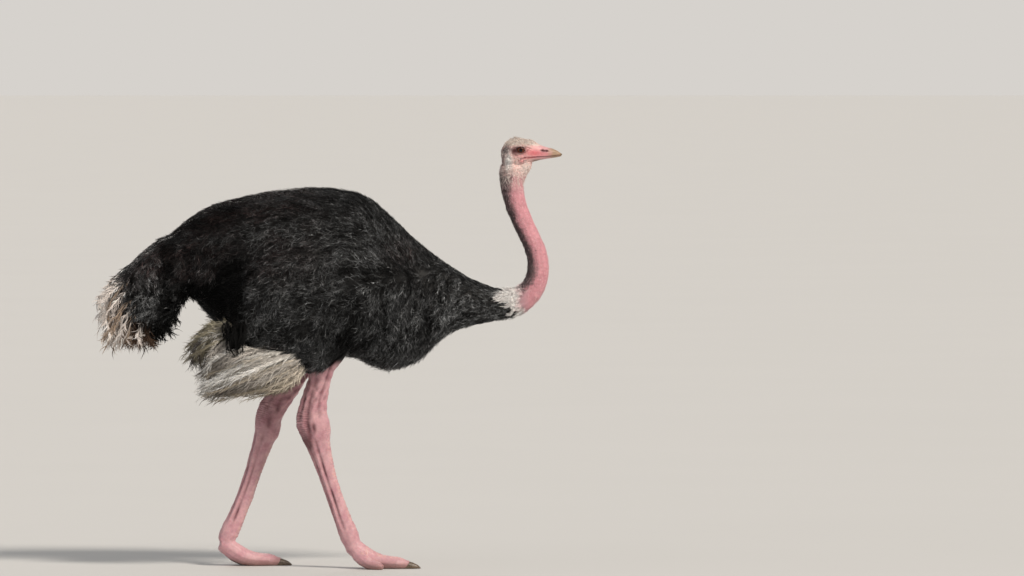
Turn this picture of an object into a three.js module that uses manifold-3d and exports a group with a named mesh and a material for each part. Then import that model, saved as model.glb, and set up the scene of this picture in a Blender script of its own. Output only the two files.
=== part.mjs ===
// A male Masai ostrich in mid-stride, life size, as a group of named solids.
//
// Units are millimetres. +X is ahead, +Y is to the bird's left, +Z is up, and the floor is Z = 0.
// Every feathered solid reaches out to the tips of its feathers. The bird is modelled whole in lofts,
// the lofts are joined, and thin cuts part the body where a person would name its pieces.
import * as THREE from "three";
import { mergeVertices } from "three/addons/utils/BufferGeometryUtils.js";
import Module from "manifold-3d";

const wasm = await Module();
wasm.setup();

// ---------------------------------------------------------------- driving dimensions
const GAP = 0.4; // clear space left between two touching pieces
const BACK_HEIGHT = 1369; // floor to the top of the back
const ANKLE_HEIGHT = { right: 519, left: 521 };
const TOE_JOINT_HEIGHT = { right: 90, left: 97 };
const EYE = { ahead: 697, out: 25.5, height: 1502, radius: 18 };
const SIDES = { right: -1, left: 1 }; // the sign of Y

// ---------------------------------------------------------------- plumage, skin and horn
const finish = (color, roughness) =>
  new THREE.MeshStandardMaterial({ color, roughness, metalness: 0 });
const BLACK_PLUMAGE = finish(0x17140f, 0.8);
const WHITE_PLUMAGE = finish(0xbdb4a6, 0.8);
const COLLAR_PLUMAGE = finish(0xd6cfc6, 0.85);
const TAIL_PLUMAGE = finish(0x9d8470, 0.85);
const NECK_SKIN = finish(0xc98089, 0.6);
const HEAD_SKIN = finish(0xb9a79b, 0.65);
const LEG_SKIN = finish(0xc9878a, 0.55);
const BILL_SKIN = finish(0xd98276, 0.45);
const CLAW_HORN = finish(0x4a3c30, 0.4);
const EYE_WET = finish(0x2a140c, 0.08);

// ---------------------------------------------------------------- lofts
const vec = (x, y, z) => new THREE.Vector3(x, y, z);

// A closed mesh as a manifold-3d solid.
function solid(geometry) {
  const bare = geometry.clone();
  bare.deleteAttribute("normal");
  bare.deleteAttribute("uv");
  const merged = mergeVertices(bare, 1e-4);
  const index = merged.index.array;
  const kept = [];
  for (let i = 0; i < index.length; i += 3) {
    const [a, b, c] = [index[i], index[i + 1], index[i + 2]];
    if (a !== b && b !== c && c !== a) kept.push(a, b, c);
  }
  return new wasm.Manifold(
    new wasm.Mesh({
      numProp: 3,
      vertProperties: merged.attributes.position.array,
      triVerts: new Uint32Array(kept),
    }),
  );
}

// Several values read along a smooth curve through a list of stations, u running from 0 to 1.
function along(stations, pick) {
  const curve = new THREE.CatmullRomCurve3(stations.map(pick), false, "centripetal");
  return (u) => curve.getPoint(u);
}

// A unit cylinder bent along its stations. Each station has its place `at`, its half size `side`
// across the bird, its half size `rise` in the plane of the spine, and may have `square`, from 0, a
// round section, to 1, a boxy one. Rings stand square to the spine, or upright if `upright` is set.
// `grow` makes the loft that much larger all round, which leaves a gap where it is cut away.
function loft(stations, { sides = 12, rings = 16, upright = false, grow = 0 } = {}) {
  const place = along(stations, (s) => vec(...s.at));
  const size = along(stations, (s) => vec(s.side, s.rise, s.square ?? 0));
  const geometry = new THREE.CylinderGeometry(1, 1, 1, sides, rings);
  const position = geometry.attributes.position;
  const across = vec(0, 1, 0);
  const first = vec(...stations[0].at);
  const last = vec(...stations[stations.length - 1].at);
  for (let i = 0; i < position.count; i++) {
    const u = Math.min(Math.max(0.5 - position.getY(i), 0), 1);
    const centre = place(u);
    const { x: side, y: rise, z: square } = size(u);
    const ahead = upright
      ? vec(Math.sign(last.x - first.x), 0, 0)
      : place(Math.min(u + 0.01, 1)).sub(place(Math.max(u - 0.01, 0))).normalize();
    const out = across.clone().addScaledVector(ahead, -ahead.y).normalize();
    const up = ahead.clone().cross(out);
    const reach = Math.hypot(position.getX(i), position.getZ(i));
    const angle = Math.atan2(position.getX(i), position.getZ(i));
    const power = 1 - 0.4 * square;
    const bend = (value) => Math.sign(value) * Math.abs(value) ** power;
    centre
      .addScaledVector(out, -reach * (side + grow) * bend(Math.cos(angle)))
      .addScaledVector(up, reach * (rise + grow) * bend(Math.sin(angle)));
    if (grow && u === 0) centre.addScaledVector(ahead, -grow);
    if (grow && u === 1) centre.addScaledVector(ahead, grow);
    position.setXYZ(i, centre.x, centre.y, centre.z);
  }
  const made = solid(geometry);
  return made.volume() < 0 ? turned(geometry) : made;
}

// The same mesh with each face turned round, for a loft whose spine runs the other way.
function turned(geometry) {
  const index = geometry.index.array;
  for (let i = 0; i < index.length; i += 3) [index[i], index[i + 1]] = [index[i + 1], index[i]];
  return solid(geometry);
}

const ball = (centre, radius) =>
  solid(new THREE.SphereGeometry(radius, 12, 8).translate(...centre));

const joined = (solids) => solids.reduce((all, one) => all.add(one));
const cutBy = (one, ...others) => others.reduce((left, other) => left.subtract(other), one);
const largest = (one) =>
  one.decompose().reduce((best, next) => (next.volume() > best.volume() ? next : best));

// All of a solid on the side of a plane that its normal points to, less half the gap.
const HALF_SPACE = 4000;
function beyond(one, point, normal) {
  const direction = vec(...normal).normalize();
  const box = new THREE.BoxGeometry(HALF_SPACE, HALF_SPACE, HALF_SPACE)
    .translate(0, 0, HALF_SPACE / 2 + GAP / 2)
    .applyQuaternion(new THREE.Quaternion().setFromUnitVectors(vec(0, 0, 1), direction))
    .translate(...point);
  return one.intersect(solid(box));
}
const opposite = (normal) => normal.map((n) => -n);
const between = (one, near, far) =>
  beyond(beyond(one, near.point, near.normal), far.point, opposite(far.normal));

// ---------------------------------------------------------------- trunk
// From rump to collar, with the top line, the under line and the half width of the plumage.
const TRUNK = [
  { x: -573, top: 1176, under: 1056, half: 48 },
  { x: -550, top: 1216, under: 1006, half: 84 },
  { x: -500, top: 1260, under: 955, half: 122 },
  { x: -430, top: 1301, under: 902, half: 156 },
  { x: -340, top: 1328, under: 838, half: 190 },
  { x: -222, top: 1353, under: 790, half: 220 },
  { x: -110, top: BACK_HEIGHT, under: 768, half: 236 },
  { x: 5, top: BACK_HEIGHT, under: 762, half: 240 },
  { x: 100, top: 1356, under: 752, half: 234 },
  { x: 170, top: 1322, under: 716, half: 222 },
  { x: 240, top: 1258, under: 708, half: 202 },
  { x: 310, top: 1188, under: 728, half: 168 },
  { x: 372, top: 1138, under: 778, half: 134 },
  { x: 422, top: 1100, under: 836, half: 106 },
  { x: 500, top: 1048, under: 866, half: 80 },
  { x: 590, top: 1009, under: 884, half: 60 },
  { x: 668, top: 1001, under: 902, half: 47 },
];

function trunkLoft(grow = 0) {
  const stations = TRUNK.map(({ x, top, under, half }) => ({
    at: [x, 0, (top + under) / 2],
    side: half,
    rise: (top - under) / 2,
    square: 0.12,
  }));
  return loft(stations, { sides: 20, rings: 18, upright: true, grow });
}

// ---------------------------------------------------------------- wings
// A folded wing is a pad of plumage on the flank. Its outer face stands this far out from the middle.
const WING_OUT = 284;
const WING = [
  { x: -352, top: 985, under: 860, out: 0.7 },
  { x: -335, top: 1040, under: 770, out: 0.83 },
  { x: -270, top: 1118, under: 742, out: 0.93 },
  { x: -180, top: 1165, under: 762, out: 1.0 },
  { x: -95, top: 1184, under: 722, out: 1.01 },
  { x: -45, top: 1190, under: 690, out: 1.0 },
  { x: 20, top: 1192, under: 728, out: 0.985 },
  { x: 100, top: 1186, under: 800, out: 0.965 },
  { x: 185, top: 1164, under: 868, out: 0.92 },
  { x: 262, top: 1116, under: 930, out: 0.83 },
  { x: 312, top: 1062, under: 980, out: 0.7 },
];
const WING_DEPTH = 105; // half thickness of the pad before the trunk is cut from it

function wingLoft(sign, grow = 0) {
  const stations = WING.map(({ x, top, under, out }) => ({
    at: [x, sign * (WING_OUT * out - WING_DEPTH * out), (top + under) / 2],
    side: WING_DEPTH * out,
    rise: (top - under) / 2,
    square: 0.35,
  }));
  return loft(stations, { sides: 12, rings: 11, upright: true, grow });
}

// ---------------------------------------------------------------- plumes
// One long plume: a flat leaf from root to tip that bellies out by `sag` on the way.
function plume({ root, tip, sag, wide, thick }, grow = 0) {
  const from = vec(...root);
  const to = vec(...tip);
  const middle = from.clone().lerp(to, 0.55).add(vec(...sag));
  const steps = [
    [0, 0.35],
    [0.25, 0.85],
    [0.6, 1],
    [0.88, 0.72],
    [1, 0.22],
  ];
  const bow = new THREE.QuadraticBezierCurve3(from, middle, to);
  const stations = steps.map(([u, share]) => ({
    at: bow.getPoint(u).toArray(),
    side: (thick / 2) * Math.max(share, 0.3),
    rise: (wide / 2) * share,
    square: 0.3,
  }));
  return loft(stations, { sides: 6, rings: 4, grow });
}

// White quills of one wing, below its trailing edge: the long lower ones, then the upper ones behind.
const QUILL_OUT = 205;
const QUILLS = [
  { root: [-62, 748], tip: [-300, 618], wide: 72, out: 0 },
  { root: [-75, 738], tip: [-432, 612], wide: 84, out: 10 },
  { root: [-130, 770], tip: [-484, 650], wide: 108, out: 4 },
  { root: [-215, 806], tip: [-474, 716], wide: 110, out: 2 },
  { root: [-285, 860], tip: [-500, 722], wide: 92, out: -16 },
  { root: [-300, 885], tip: [-504, 792], wide: 92, out: -22 },
  { root: [-310, 905], tip: [-462, 862], wide: 74, out: -26 },
];
const QUILL_THICK = 46;

const quills = (sign, grow = 0) =>
  joined(
    QUILLS.map(({ root, tip, wide, out }) => {
      const y = sign * (QUILL_OUT + out);
      return plume(
        {
          root: [root[0], y, root[1]],
          tip: [tip[0], y - sign * 18, tip[1]],
          sag: [0, sign * 14, -16],
          wide,
          thick: QUILL_THICK,
        },
        grow,
      );
    }),
  );

// ---------------------------------------------------------------- tail
// The black core of the tail, and the pale plumes that hang from it in rows across the bird.
const TAIL_CORE = [
  { at: [-420, 0, 1110], side: 118, rise: 120 },
  { at: [-520, 0, 1083], side: 120, rise: 132 },
  { at: [-600, 0, 1017], side: 120, rise: 137 },
  { at: [-668, 0, 940], side: 118, rise: 140 },
  { at: [-704, 0, 868], side: 96, rise: 108 },
  { at: [-718, 0, 834], side: 52, rise: 62 },
];
const TAIL_ROWS = [
  { root: [-650, 1090], tip: [-826, 884], spread: 44, plumes: 2, wide: 88 },
  { root: [-660, 1050], tip: [-828, 766], spread: 100, plumes: 3, wide: 100 },
  { root: [-655, 980], tip: [-756, 760], spread: 112, plumes: 3, wide: 96 },
  { root: [-625, 950], tip: [-680, 774], spread: 108, plumes: 3, wide: 96 },
  { root: [-575, 950], tip: [-604, 790], spread: 58, plumes: 2, wide: 84 },
];

const tailCore = (grow = 0) => loft(TAIL_CORE, { sides: 14, rings: 9, grow });

const TAIL_OVERLAP = 1.3; // thickness of a plume over its distance from the next in the row

function tailPlumes() {
  const all = [];
  for (const { root, tip, spread, plumes, wide } of TAIL_ROWS) {
    const step = (2 * spread) / (plumes - 1);
    for (let i = 0; i < plumes; i++) {
      const y = i * step - spread;
      all.push(
        plume({
          root: [root[0], y * 0.72, root[1]],
          tip: [tip[0] + 0.12 * Math.abs(y), y, tip[1] + 0.1 * Math.abs(y)],
          sag: [-40, 0, 30],
          wide,
          thick: TAIL_OVERLAP * step,
        }),
      );
    }
  }
  return joined(all);
}

// ---------------------------------------------------------------- neck and head
// Centre line of the neck from the collar up, with its depth fore and aft and its width.
const NECK = [
  { at: [560, 942], deep: 108, wide: 84 },
  { at: [625, 946], deep: 104, wide: 84 },
  { at: [676, 953], deep: 98, wide: 82 },
  { at: [715, 978], deep: 89, wide: 78 },
  { at: [741, 1010], deep: 81, wide: 73 },
  { at: [755, 1049], deep: 76, wide: 70 },
  { at: [758.5, 1089], deep: 74, wide: 68 },
  { at: [753, 1130], deep: 71, wide: 66 },
  { at: [735, 1177], deep: 68, wide: 64 },
  { at: [715, 1218], deep: 68, wide: 63 },
  { at: [680, 1299], deep: 72, wide: 62 },
  { at: [664, 1370], deep: 78, wide: 62 },
  { at: [664, 1410], deep: 86, wide: 64 },
  { at: [670, 1448], deep: 84, wide: 60 },
  { at: [676, 1472], deep: 50, wide: 40 },
];

// From the nape to the tip of the bill, with the crown, the under line and the half width.
const HEAD = [
  { x: 625, top: 1505, under: 1476, half: 8 },
  { x: 631, top: 1523, under: 1452, half: 21 },
  { x: 648, top: 1541, under: 1434, half: 33 },
  { x: 676, top: 1548.5, under: 1440, half: 39.5 },
  { x: 700, top: 1547, under: 1449, half: 41 },
  { x: 722, top: 1540, under: 1456, half: 36.5 },
  { x: 742, top: 1531, under: 1461, half: 31 },
  { x: 764, top: 1522, under: 1467, half: 27.5 },
  { x: 790, top: 1511.5, under: 1472, half: 23.5 },
  { x: 815, top: 1502, under: 1475.5, half: 19 },
  { x: 834, top: 1494.5, under: 1478.5, half: 13.5 },
  { x: 843.5, top: 1489.5, under: 1482, half: 6 },
];
const GAPE = { x: 712, z: 1477.5 }; // the corner of the mouth
const BILL_TIP = { x: 846, z: 1485.5 };
const BILL_BASE = 748;

const neckLoft = loft(
  NECK.map(({ at: [x, z], deep, wide }) => ({ at: [x, 0, z], side: wide / 2, rise: deep / 2 })),
  { sides: 12, rings: 24 },
);
const headLoft = loft(
  HEAD.map(({ x, top, under, half }) => ({
    at: [x, 0, (top + under) / 2],
    side: half,
    rise: (top - under) / 2,
    square: 0.25,
  })),
  { sides: 14, rings: 14, upright: true },
);
// The soft throat that fills the corner between jaw and neck.
const throat = loft(
  [
    { at: [676, 0, 1380], side: 22, rise: 24 },
    { at: [690, 0, 1418], side: 25, rise: 31 },
    { at: [707, 0, 1450], side: 25, rise: 30 },
    { at: [722, 0, 1474], side: 20, rise: 18 },
  ],
  { sides: 10, rings: 6 },
);

// ---------------------------------------------------------------- legs
// Stations run down from inside the flank: ahead, height, depth fore and aft, width, distance out.
const LEG = {
  right: [
    { x: 34, z: 930, deep: 214, wide: 120, out: 122 },
    { x: 14, z: 850, deep: 196, wide: 126, out: 126 },
    { x: -6, z: 780, deep: 150, wide: 112, out: 122 },
    { x: -22, z: 722, deep: 100, wide: 88, out: 116 },
    { x: -28, z: 676, deep: 80, wide: 72, out: 111 },
    { x: -44, z: 612, deep: 92, wide: 68, out: 105 },
    { x: -52, z: 556, deep: 115, wide: 76, out: 100 },
    { x: -49, z: ANKLE_HEIGHT.right, deep: 119, wide: 84, out: 97 },
    { x: -40, z: 474, deep: 102, wide: 76, out: 94 },
    { x: -29, z: 435, deep: 85, wide: 62, out: 92 },
    { x: -17, z: 392, deep: 72, wide: 54, out: 90 },
    { x: 4, z: 322, deep: 60, wide: 48, out: 87 },
    { x: 31, z: 242, deep: 58, wide: 48, out: 84 },
    { x: 60, z: 165, deep: 62, wide: 56, out: 81 },
    { x: 81, z: 112, deep: 70, wide: 68, out: 79 },
    { x: 93, z: 80, deep: 60, wide: 62, out: 78 },
  ],
  left: [
    { x: 6, z: 930, deep: 214, wide: 120, out: 122 },
    { x: -38, z: 850, deep: 192, wide: 126, out: 126 },
    { x: -82, z: 770, deep: 148, wide: 110, out: 121 },
    { x: -118, z: 708, deep: 116, wide: 86, out: 114 },
    { x: -150, z: 656, deep: 104, wide: 74, out: 108 },
    { x: -180, z: 608, deep: 106, wide: 72, out: 103 },
    { x: -199, z: 566, deep: 108, wide: 78, out: 99 },
    { x: -213, z: ANKLE_HEIGHT.left, deep: 100, wide: 84, out: 96 },
    { x: -226, z: 476, deep: 84, wide: 74, out: 93 },
    { x: -239, z: 436, deep: 72, wide: 62, out: 91 },
    { x: -254, z: 394, deep: 64, wide: 54, out: 89 },
    { x: -275, z: 330, deep: 58, wide: 48, out: 86 },
    { x: -302, z: 250, deep: 58, wide: 48, out: 83 },
    { x: -335, z: 170, deep: 62, wide: 56, out: 80 },
    { x: -360, z: 118, deep: 70, wide: 68, out: 78 },
    { x: -374, z: 84, deep: 60, wide: 62, out: 77 },
  ],
};

const legLoft = (name, grow = 0) =>
  loft(
    LEG[name].map(({ x, z, deep, wide, out }) => ({
      at: [x, SIDES[name] * out, z],
      side: wide / 2,
      rise: deep / 2,
      square: 0.15,
    })),
    { sides: 10, rings: 15, grow },
  );

// ---------------------------------------------------------------- feet
// A foot measured from the floor below its toe joint: ahead, out from the leg, height.
const TOE_TURN = THREE.MathUtils.degToRad(6); // each foot turns out a little
const BIG_TOE = [
  { at: [-14, 0, 84], side: 30, rise: 30 },
  { at: [14, 0, 68], side: 33, rise: 33 },
  { at: [48, 0, 44], side: 32, rise: 30 },
  { at: [86, 0, 26], side: 35, rise: 29 },
  { at: [124, 0, 20], side: 33, rise: 25 },
  { at: [152, 0, 19.5], side: 34, rise: 24 },
  { at: [182, 0, 16], side: 27, rise: 19 },
  { at: [200, 0, 13], side: 18, rise: 14 },
];
const SMALL_TOE = [
  { at: [2, 14, 72], side: 18, rise: 22 },
  { at: [24, 32, 48], side: 20, rise: 24 },
  { at: [50, 52, 26], side: 20, rise: 21 },
  { at: [78, 66, 15], side: 19, rise: 18 },
  { at: [100, 75, 12], side: 17, rise: 15 },
  { at: [117, 81, 9], side: 10, rise: 9 },
];
const CLAW = [
  { at: [184, 0, 22], side: 13, rise: 9.5 },
  { at: [208, 0, 18], side: 12, rise: 9 },
  { at: [230, 0, 10], side: 8, rise: 6 },
  { at: [243, 0, 3], side: 3, rise: 2 },
];

// Puts a station list of the foot at a toe joint, turned outwards on its side of the bird.
function planted(stations, name) {
  const joint = LEG[name][LEG[name].length - 1];
  const sign = SIDES[name];
  return stations.map(({ at: [ahead, out, z], side, rise }) => ({
    at: [
      joint.x + ahead * Math.cos(TOE_TURN) - out * Math.sin(TOE_TURN),
      sign * (joint.out + ahead * Math.sin(TOE_TURN) + out * Math.cos(TOE_TURN)),
      z,
    ],
    side,
    rise,
    square: 0.2,
  }));
}

// ---------------------------------------------------------------- the bird
const bird = new THREE.Group();

function add(name, one, material) {
  const { vertProperties, triVerts, numProp, numVert } = largest(one).getMesh();
  const points = new Float32Array(numVert * 3);
  for (let i = 0; i < numVert; i++) {
    points.set(vertProperties.subarray(i * numProp, i * numProp + 3), i * 3);
  }
  const geometry = new THREE.BufferGeometry()
    .setAttribute("position", new THREE.BufferAttribute(points, 3))
    .setIndex(new THREE.BufferAttribute(triVerts, 1));
  geometry.computeVertexNormals();
  const mesh = new THREE.Mesh(geometry, material);
  mesh.name = name;
  bird.add(mesh);
}

// The planes of the thin cuts across the head and neck.
const CUT = {
  shoulder: { point: [428, 0, 960], normal: [1, 0, -0.12] },
  collarFoot: { point: [650, 0, 950], normal: [1, 0, 0.1] },
  collar: { point: [694, 0, 966], normal: [0.84, 0, 0.54] },
  lowNeck: { point: [757, 0, 1075], normal: [0, 0, 1] },
  midNeck: { point: [697, 0, 1258], normal: [-0.42, 0, 0.9] },
  throat: { point: [664, 0, 1396], normal: [0.08, 0, 1] },
};

function addTrunkAndNeck() {
  const whole = joined([trunkLoft(), neckLoft, headLoft, throat]);
  add("trunk", beyond(whole, CUT.shoulder.point, opposite(CUT.shoulder.normal)), BLACK_PLUMAGE);
  add("neck_base", between(whole, CUT.shoulder, CUT.collarFoot), BLACK_PLUMAGE);
  const bare = beyond(whole, CUT.collarFoot.point, CUT.collarFoot.normal);
  add("collar", beyond(bare, CUT.collar.point, opposite(CUT.collar.normal)), COLLAR_PLUMAGE);
  add("neck_lower", between(bare, CUT.collar, CUT.lowNeck), NECK_SKIN);
  add("neck_middle", between(bare, CUT.lowNeck, CUT.midNeck), NECK_SKIN);
  add("neck_upper", between(bare, CUT.midNeck, CUT.throat), NECK_SKIN);
  addHead(beyond(bare, CUT.throat.point, CUT.throat.normal));
}

// The eyes are set in sockets, and the bill is parted from the face and opened along the mouth.
function addHead(head) {
  const sockets = Object.values(SIDES).map((sign) =>
    ball([EYE.ahead, sign * EYE.out, EYE.height], EYE.radius + GAP),
  );
  const face = cutBy(head, ...sockets);
  const slope = (BILL_TIP.z - GAPE.z) / (BILL_TIP.x - GAPE.x);
  const mouth = { point: [GAPE.x, 0, GAPE.z], normal: [-slope, 0, 1] };
  const base = { point: [BILL_BASE, 0, 1500], normal: [1, 0, 0.25] };
  const bill = beyond(face, base.point, base.normal);
  add("head", beyond(face, base.point, opposite(base.normal)), HEAD_SKIN);
  add("bill_upper", beyond(bill, mouth.point, mouth.normal), BILL_SKIN);
  add("bill_lower", beyond(bill, mouth.point, opposite(mouth.normal)), BILL_SKIN);
  for (const [name, sign] of Object.entries(SIDES)) {
    add(`eye_${name}`, ball([EYE.ahead, sign * EYE.out, EYE.height], EYE.radius), EYE_WET);
  }
}

function addTail() {
  const trunk = trunkLoft(GAP);
  const core = cutBy(tailCore(), trunk);
  add("tail", core, BLACK_PLUMAGE);
  const plumes = cutBy(tailPlumes(), trunk, tailCore(GAP));
  add("tail_plumes", plumes, TAIL_PLUMAGE);
}

function addWings() {
  const trunk = trunkLoft(GAP);
  for (const [name, sign] of Object.entries(SIDES)) {
    add(`wing_${name}`, cutBy(wingLoft(sign), trunk), BLACK_PLUMAGE);
    add(`wing_plumes_${name}`, cutBy(quills(sign), trunk, wingLoft(sign, GAP)), WHITE_PLUMAGE);
  }
}

const ANKLE_DROP = 62; // the shank is parted from the tarsus this far below the ankle
const TOE_RISE = 18; // and the tarsus from the foot this far above the toe joint

function addLegs() {
  const trunk = trunkLoft(GAP);
  for (const [name, sign] of Object.entries(SIDES)) {
    const leg = cutBy(legLoft(name), trunk, wingLoft(sign, GAP), quills(sign, GAP));
    const ankle = LEG[name].find(({ z }) => z === ANKLE_HEIGHT[name]);
    const joint = LEG[name][LEG[name].length - 1];
    const ankleCut = { point: [ankle.x, 0, ankle.z - ANKLE_DROP], normal: [0, 0, 1] };
    const toeCut = { point: [joint.x, 0, TOE_JOINT_HEIGHT[name] + TOE_RISE], normal: [-0.35, 0, 1] };
    add(`shank_${name}`, beyond(leg, ankleCut.point, ankleCut.normal), LEG_SKIN);
    add(`tarsus_${name}`, between(leg, toeCut, ankleCut), LEG_SKIN);
    addFoot(name, beyond(leg, toeCut.point, opposite(toeCut.normal)), toeCut);
  }
}

// The big toe carries the end of the leg, and the small toe and the claw are parted from it.
function addFoot(name, legEnd, toeCut) {
  const floor = { point: [0, 0, -GAP / 2], normal: [0, 0, 1] };
  const big = (grow) => loft(planted(BIG_TOE, name), { sides: 10, rings: 8, grow });
  const claw = (grow) => loft(planted(CLAW, name), { sides: 8, rings: 4, grow });
  const small = loft(planted(SMALL_TOE, name), { sides: 8, rings: 6 });
  const below = (one) => beyond(one, toeCut.point, opposite(toeCut.normal));
  const onFloor = (one) => beyond(one, floor.point, floor.normal);
  add(`toe_big_${name}`, onFloor(cutBy(joined([below(big(0)), legEnd]), claw(GAP))), LEG_SKIN);
  add(`claw_${name}`, onFloor(claw(0)), CLAW_HORN);
  add(`toe_small_${name}`, onFloor(below(cutBy(small, big(GAP), legLoft(name, GAP)))), LEG_SKIN);
}

addTrunkAndNeck();
addTail();
addWings();
addLegs();

export default bird;
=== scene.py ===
"""Looks of a life-size still model of a male ostrich, walking with its neck bent and carried low.

One skin stands for all the nodes of flesh. Over it lie the coats: loose feathers, plumes, down, bristles and
horn plates, all as solid mesh. Everything is in metres, +X ahead, +Y to the bird's left and +Z up.
"""

import logging
import math
from collections.abc import Callable, Sequence
from dataclasses import dataclass
from enum import Enum

import bmesh
import bpy
import numpy as np
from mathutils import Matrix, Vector
from mathutils.bvhtree import BVHTree


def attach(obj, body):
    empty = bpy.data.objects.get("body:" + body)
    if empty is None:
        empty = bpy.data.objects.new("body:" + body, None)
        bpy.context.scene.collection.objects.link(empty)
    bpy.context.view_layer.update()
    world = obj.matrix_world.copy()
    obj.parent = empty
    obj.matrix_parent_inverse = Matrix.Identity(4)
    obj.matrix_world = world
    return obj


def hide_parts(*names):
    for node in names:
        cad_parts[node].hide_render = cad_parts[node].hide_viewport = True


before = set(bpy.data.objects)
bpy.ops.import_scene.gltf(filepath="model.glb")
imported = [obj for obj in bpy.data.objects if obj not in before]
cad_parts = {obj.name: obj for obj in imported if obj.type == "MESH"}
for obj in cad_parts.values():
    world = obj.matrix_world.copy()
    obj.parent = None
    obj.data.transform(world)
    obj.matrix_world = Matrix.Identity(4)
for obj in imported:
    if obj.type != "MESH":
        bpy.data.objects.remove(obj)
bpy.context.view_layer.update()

log = logging.getLogger("ostrich")

Array = np.ndarray
Piece = bpy.types.Object
Tree = bpy.types.NodeTree
Socket = bpy.types.NodeSocket
Material = bpy.types.Material
Random = np.random.Generator

MM = 0.001
SIDES = {"right": -1.0, "left": 1.0}
BAKE_MAP = "OFBake"
BAKE_PATCH = 0.003  # how much of the bake map one tuft covers
MARKING = "marking"  # the colour attribute that skin and coat share
GLOSS = "gloss"  # roughness, point by point
DOWN = np.array([0.0, 0.0, -1.0])
LEFT = np.array([0.0, 1.0, 0.0])
TURN = 2 * math.pi


# ------------------------------------------------------------------ numbers
def unit(vectors: Array) -> Array:
    """Vectors scaled to length one along their last axis."""
    size = np.linalg.norm(vectors, axis=-1, keepdims=True)
    return vectors / np.maximum(size, 1e-12)


def ease(low: float, high: float, x: Array) -> Array:
    """A smooth step from 0 at low to 1 at high, either way round."""
    t = np.clip((x - low) / (high - low), 0.0, 1.0)
    return t * t * (3.0 - 2.0 * t)


def hill(x: Array, centre: float, width: float) -> Array:
    """A smooth bump of height 1 at centre that has died away about two widths off."""
    return np.exp(-(((x - centre) / width) ** 2))


def channel(value: float) -> float:
    """One sRGB channel, 0 to 1, as linear light."""
    return value / 12.92 if value <= 0.04045 else ((value + 0.055) / 1.055) ** 2.4


def linear(colour: str) -> Array:
    """Turns an sRGB hex colour to linear light.

    Args:
        colour: the colour as "#rrggbb".
    Returns:
        Red, green and blue.
    """
    return np.array([channel(int(colour[i : i + 2], 16) / 255.0) for i in (1, 3, 5)])


def even(colour: str, points: Array) -> Array:
    """One sRGB hex colour, as linear light, for each of some points."""
    return np.broadcast_to(linear(colour), points.shape)


def mix(a: Array, b: Array | str, share: Array) -> Array:
    """Blends a into b, which may be an sRGB hex colour, by a share for each row."""
    b = linear(b) if isinstance(b, str) else b
    return a + (b - a) * np.asarray(share)[..., None]


def backwards(fall: Array) -> Array:
    """Directions straight back that fall by so much for each unit of length."""
    return np.column_stack([-np.ones(len(fall)), np.zeros(len(fall)), -fall])


def seat_at(along: Array, across: Array, up: Array) -> Array:
    """Places on the bake map, 0 to 1, from how far along and which way round a root lies."""
    return np.clip(np.column_stack([along, np.arctan2(across, up) / TURN + 0.5]), 0, 1)


class Drift:
    """Smooth seeded noise over space, about -1 to 1, whose features have one size."""

    def __init__(self, seed: int, size: float, waves: int = 10) -> None:
        """Draws the waves.

        Args:
            seed: what the waves are drawn from.
            size: length of the middle wave, in metres.
            waves: how many are added up.
        """
        rng = np.random.default_rng(seed)
        length = size * rng.uniform(0.65, 1.6, (waves, 1))
        self.wave = unit(rng.normal(size=(waves, 3))) * (TURN / length)
        self.phase = rng.uniform(0.0, TURN, waves)

    def __call__(self, points: Array) -> Array:
        """The noise at points, one value each."""
        return np.sin(points @ self.wave.T + self.phase).sum(-1) * 1.1 / math.sqrt(len(self.phase))


class Route:
    """A smooth line in an upright plane along the bird, which tells where points lie along and around it."""

    SAMPLES = 160

    def __init__(self, places: Sequence[tuple[float, float]], out: Sequence[float] | float = 0.0) -> None:
        """Draws the line through a few places.

        Args:
            places: X and Z of each place, in millimetres.
            out: Y of each place, or of all.
        """
        flat = np.array(places, float) * MM
        across = np.broadcast_to(np.array(out, float) * MM, len(flat))
        knots = np.column_stack([flat[:, 0], across, flat[:, 1]])
        ends = np.vstack([2 * knots[0] - knots[1], knots, 2 * knots[-1] - knots[-2]])
        u = np.linspace(0.0, len(knots) - 1.001, self.SAMPLES)
        i = u.astype(int)
        t = (u - i)[:, None]
        a, b, c, d = (ends[i + k] for k in range(4))
        bow = 2 * a - 5 * b + 4 * c - d
        twist = 3 * b - a - 3 * c + d
        self.points = 0.5 * (2 * b + (c - a) * t + bow * t**2 + twist * t**3)
        self.tangents = unit(np.gradient(self.points, axis=0))
        steps = np.linalg.norm(np.diff(self.points, axis=0), axis=1)
        self.lengths = np.concatenate([[0.0], np.cumsum(steps)])

    def locate(self, points: Array) -> tuple[Array, Array, Array]:
        """Says where points lie.

        Args:
            points: places in space.
        Returns:
            How far along the line each is, how far to its front, and how far to the bird's left of it.
        """
        gap = points[:, None, ::2] - self.points[None, :, ::2]
        near = (gap**2).sum(-1).argmin(1)
        step = points - self.points[near]
        tangent = self.tangents[near]
        along = self.lengths[near] + (step * tangent).sum(-1)
        front = step[:, 0] * tangent[:, 2] - step[:, 2] * tangent[:, 0]
        return along, front, step[:, 1]

    def around(self, points: Array) -> tuple[Array, Array]:
        """How far along the line each point lies, and how far round from its front, 0 to pi."""
        along, front, side = self.locate(points)
        return along, np.arctan2(np.abs(side), front)

    def ahead(self, points: Array) -> Array:
        """The direction of the line where it passes each point."""
        gap = points[:, None, ::2] - self.points[None, :, ::2]
        return self.tangents[(gap**2).sum(-1).argmin(1)]

    def at_height(self, height: float) -> float:
        """How far along the line it first comes to a height."""
        return float(self.lengths[np.abs(self.points[:, 2] - height).argmin()])


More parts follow.
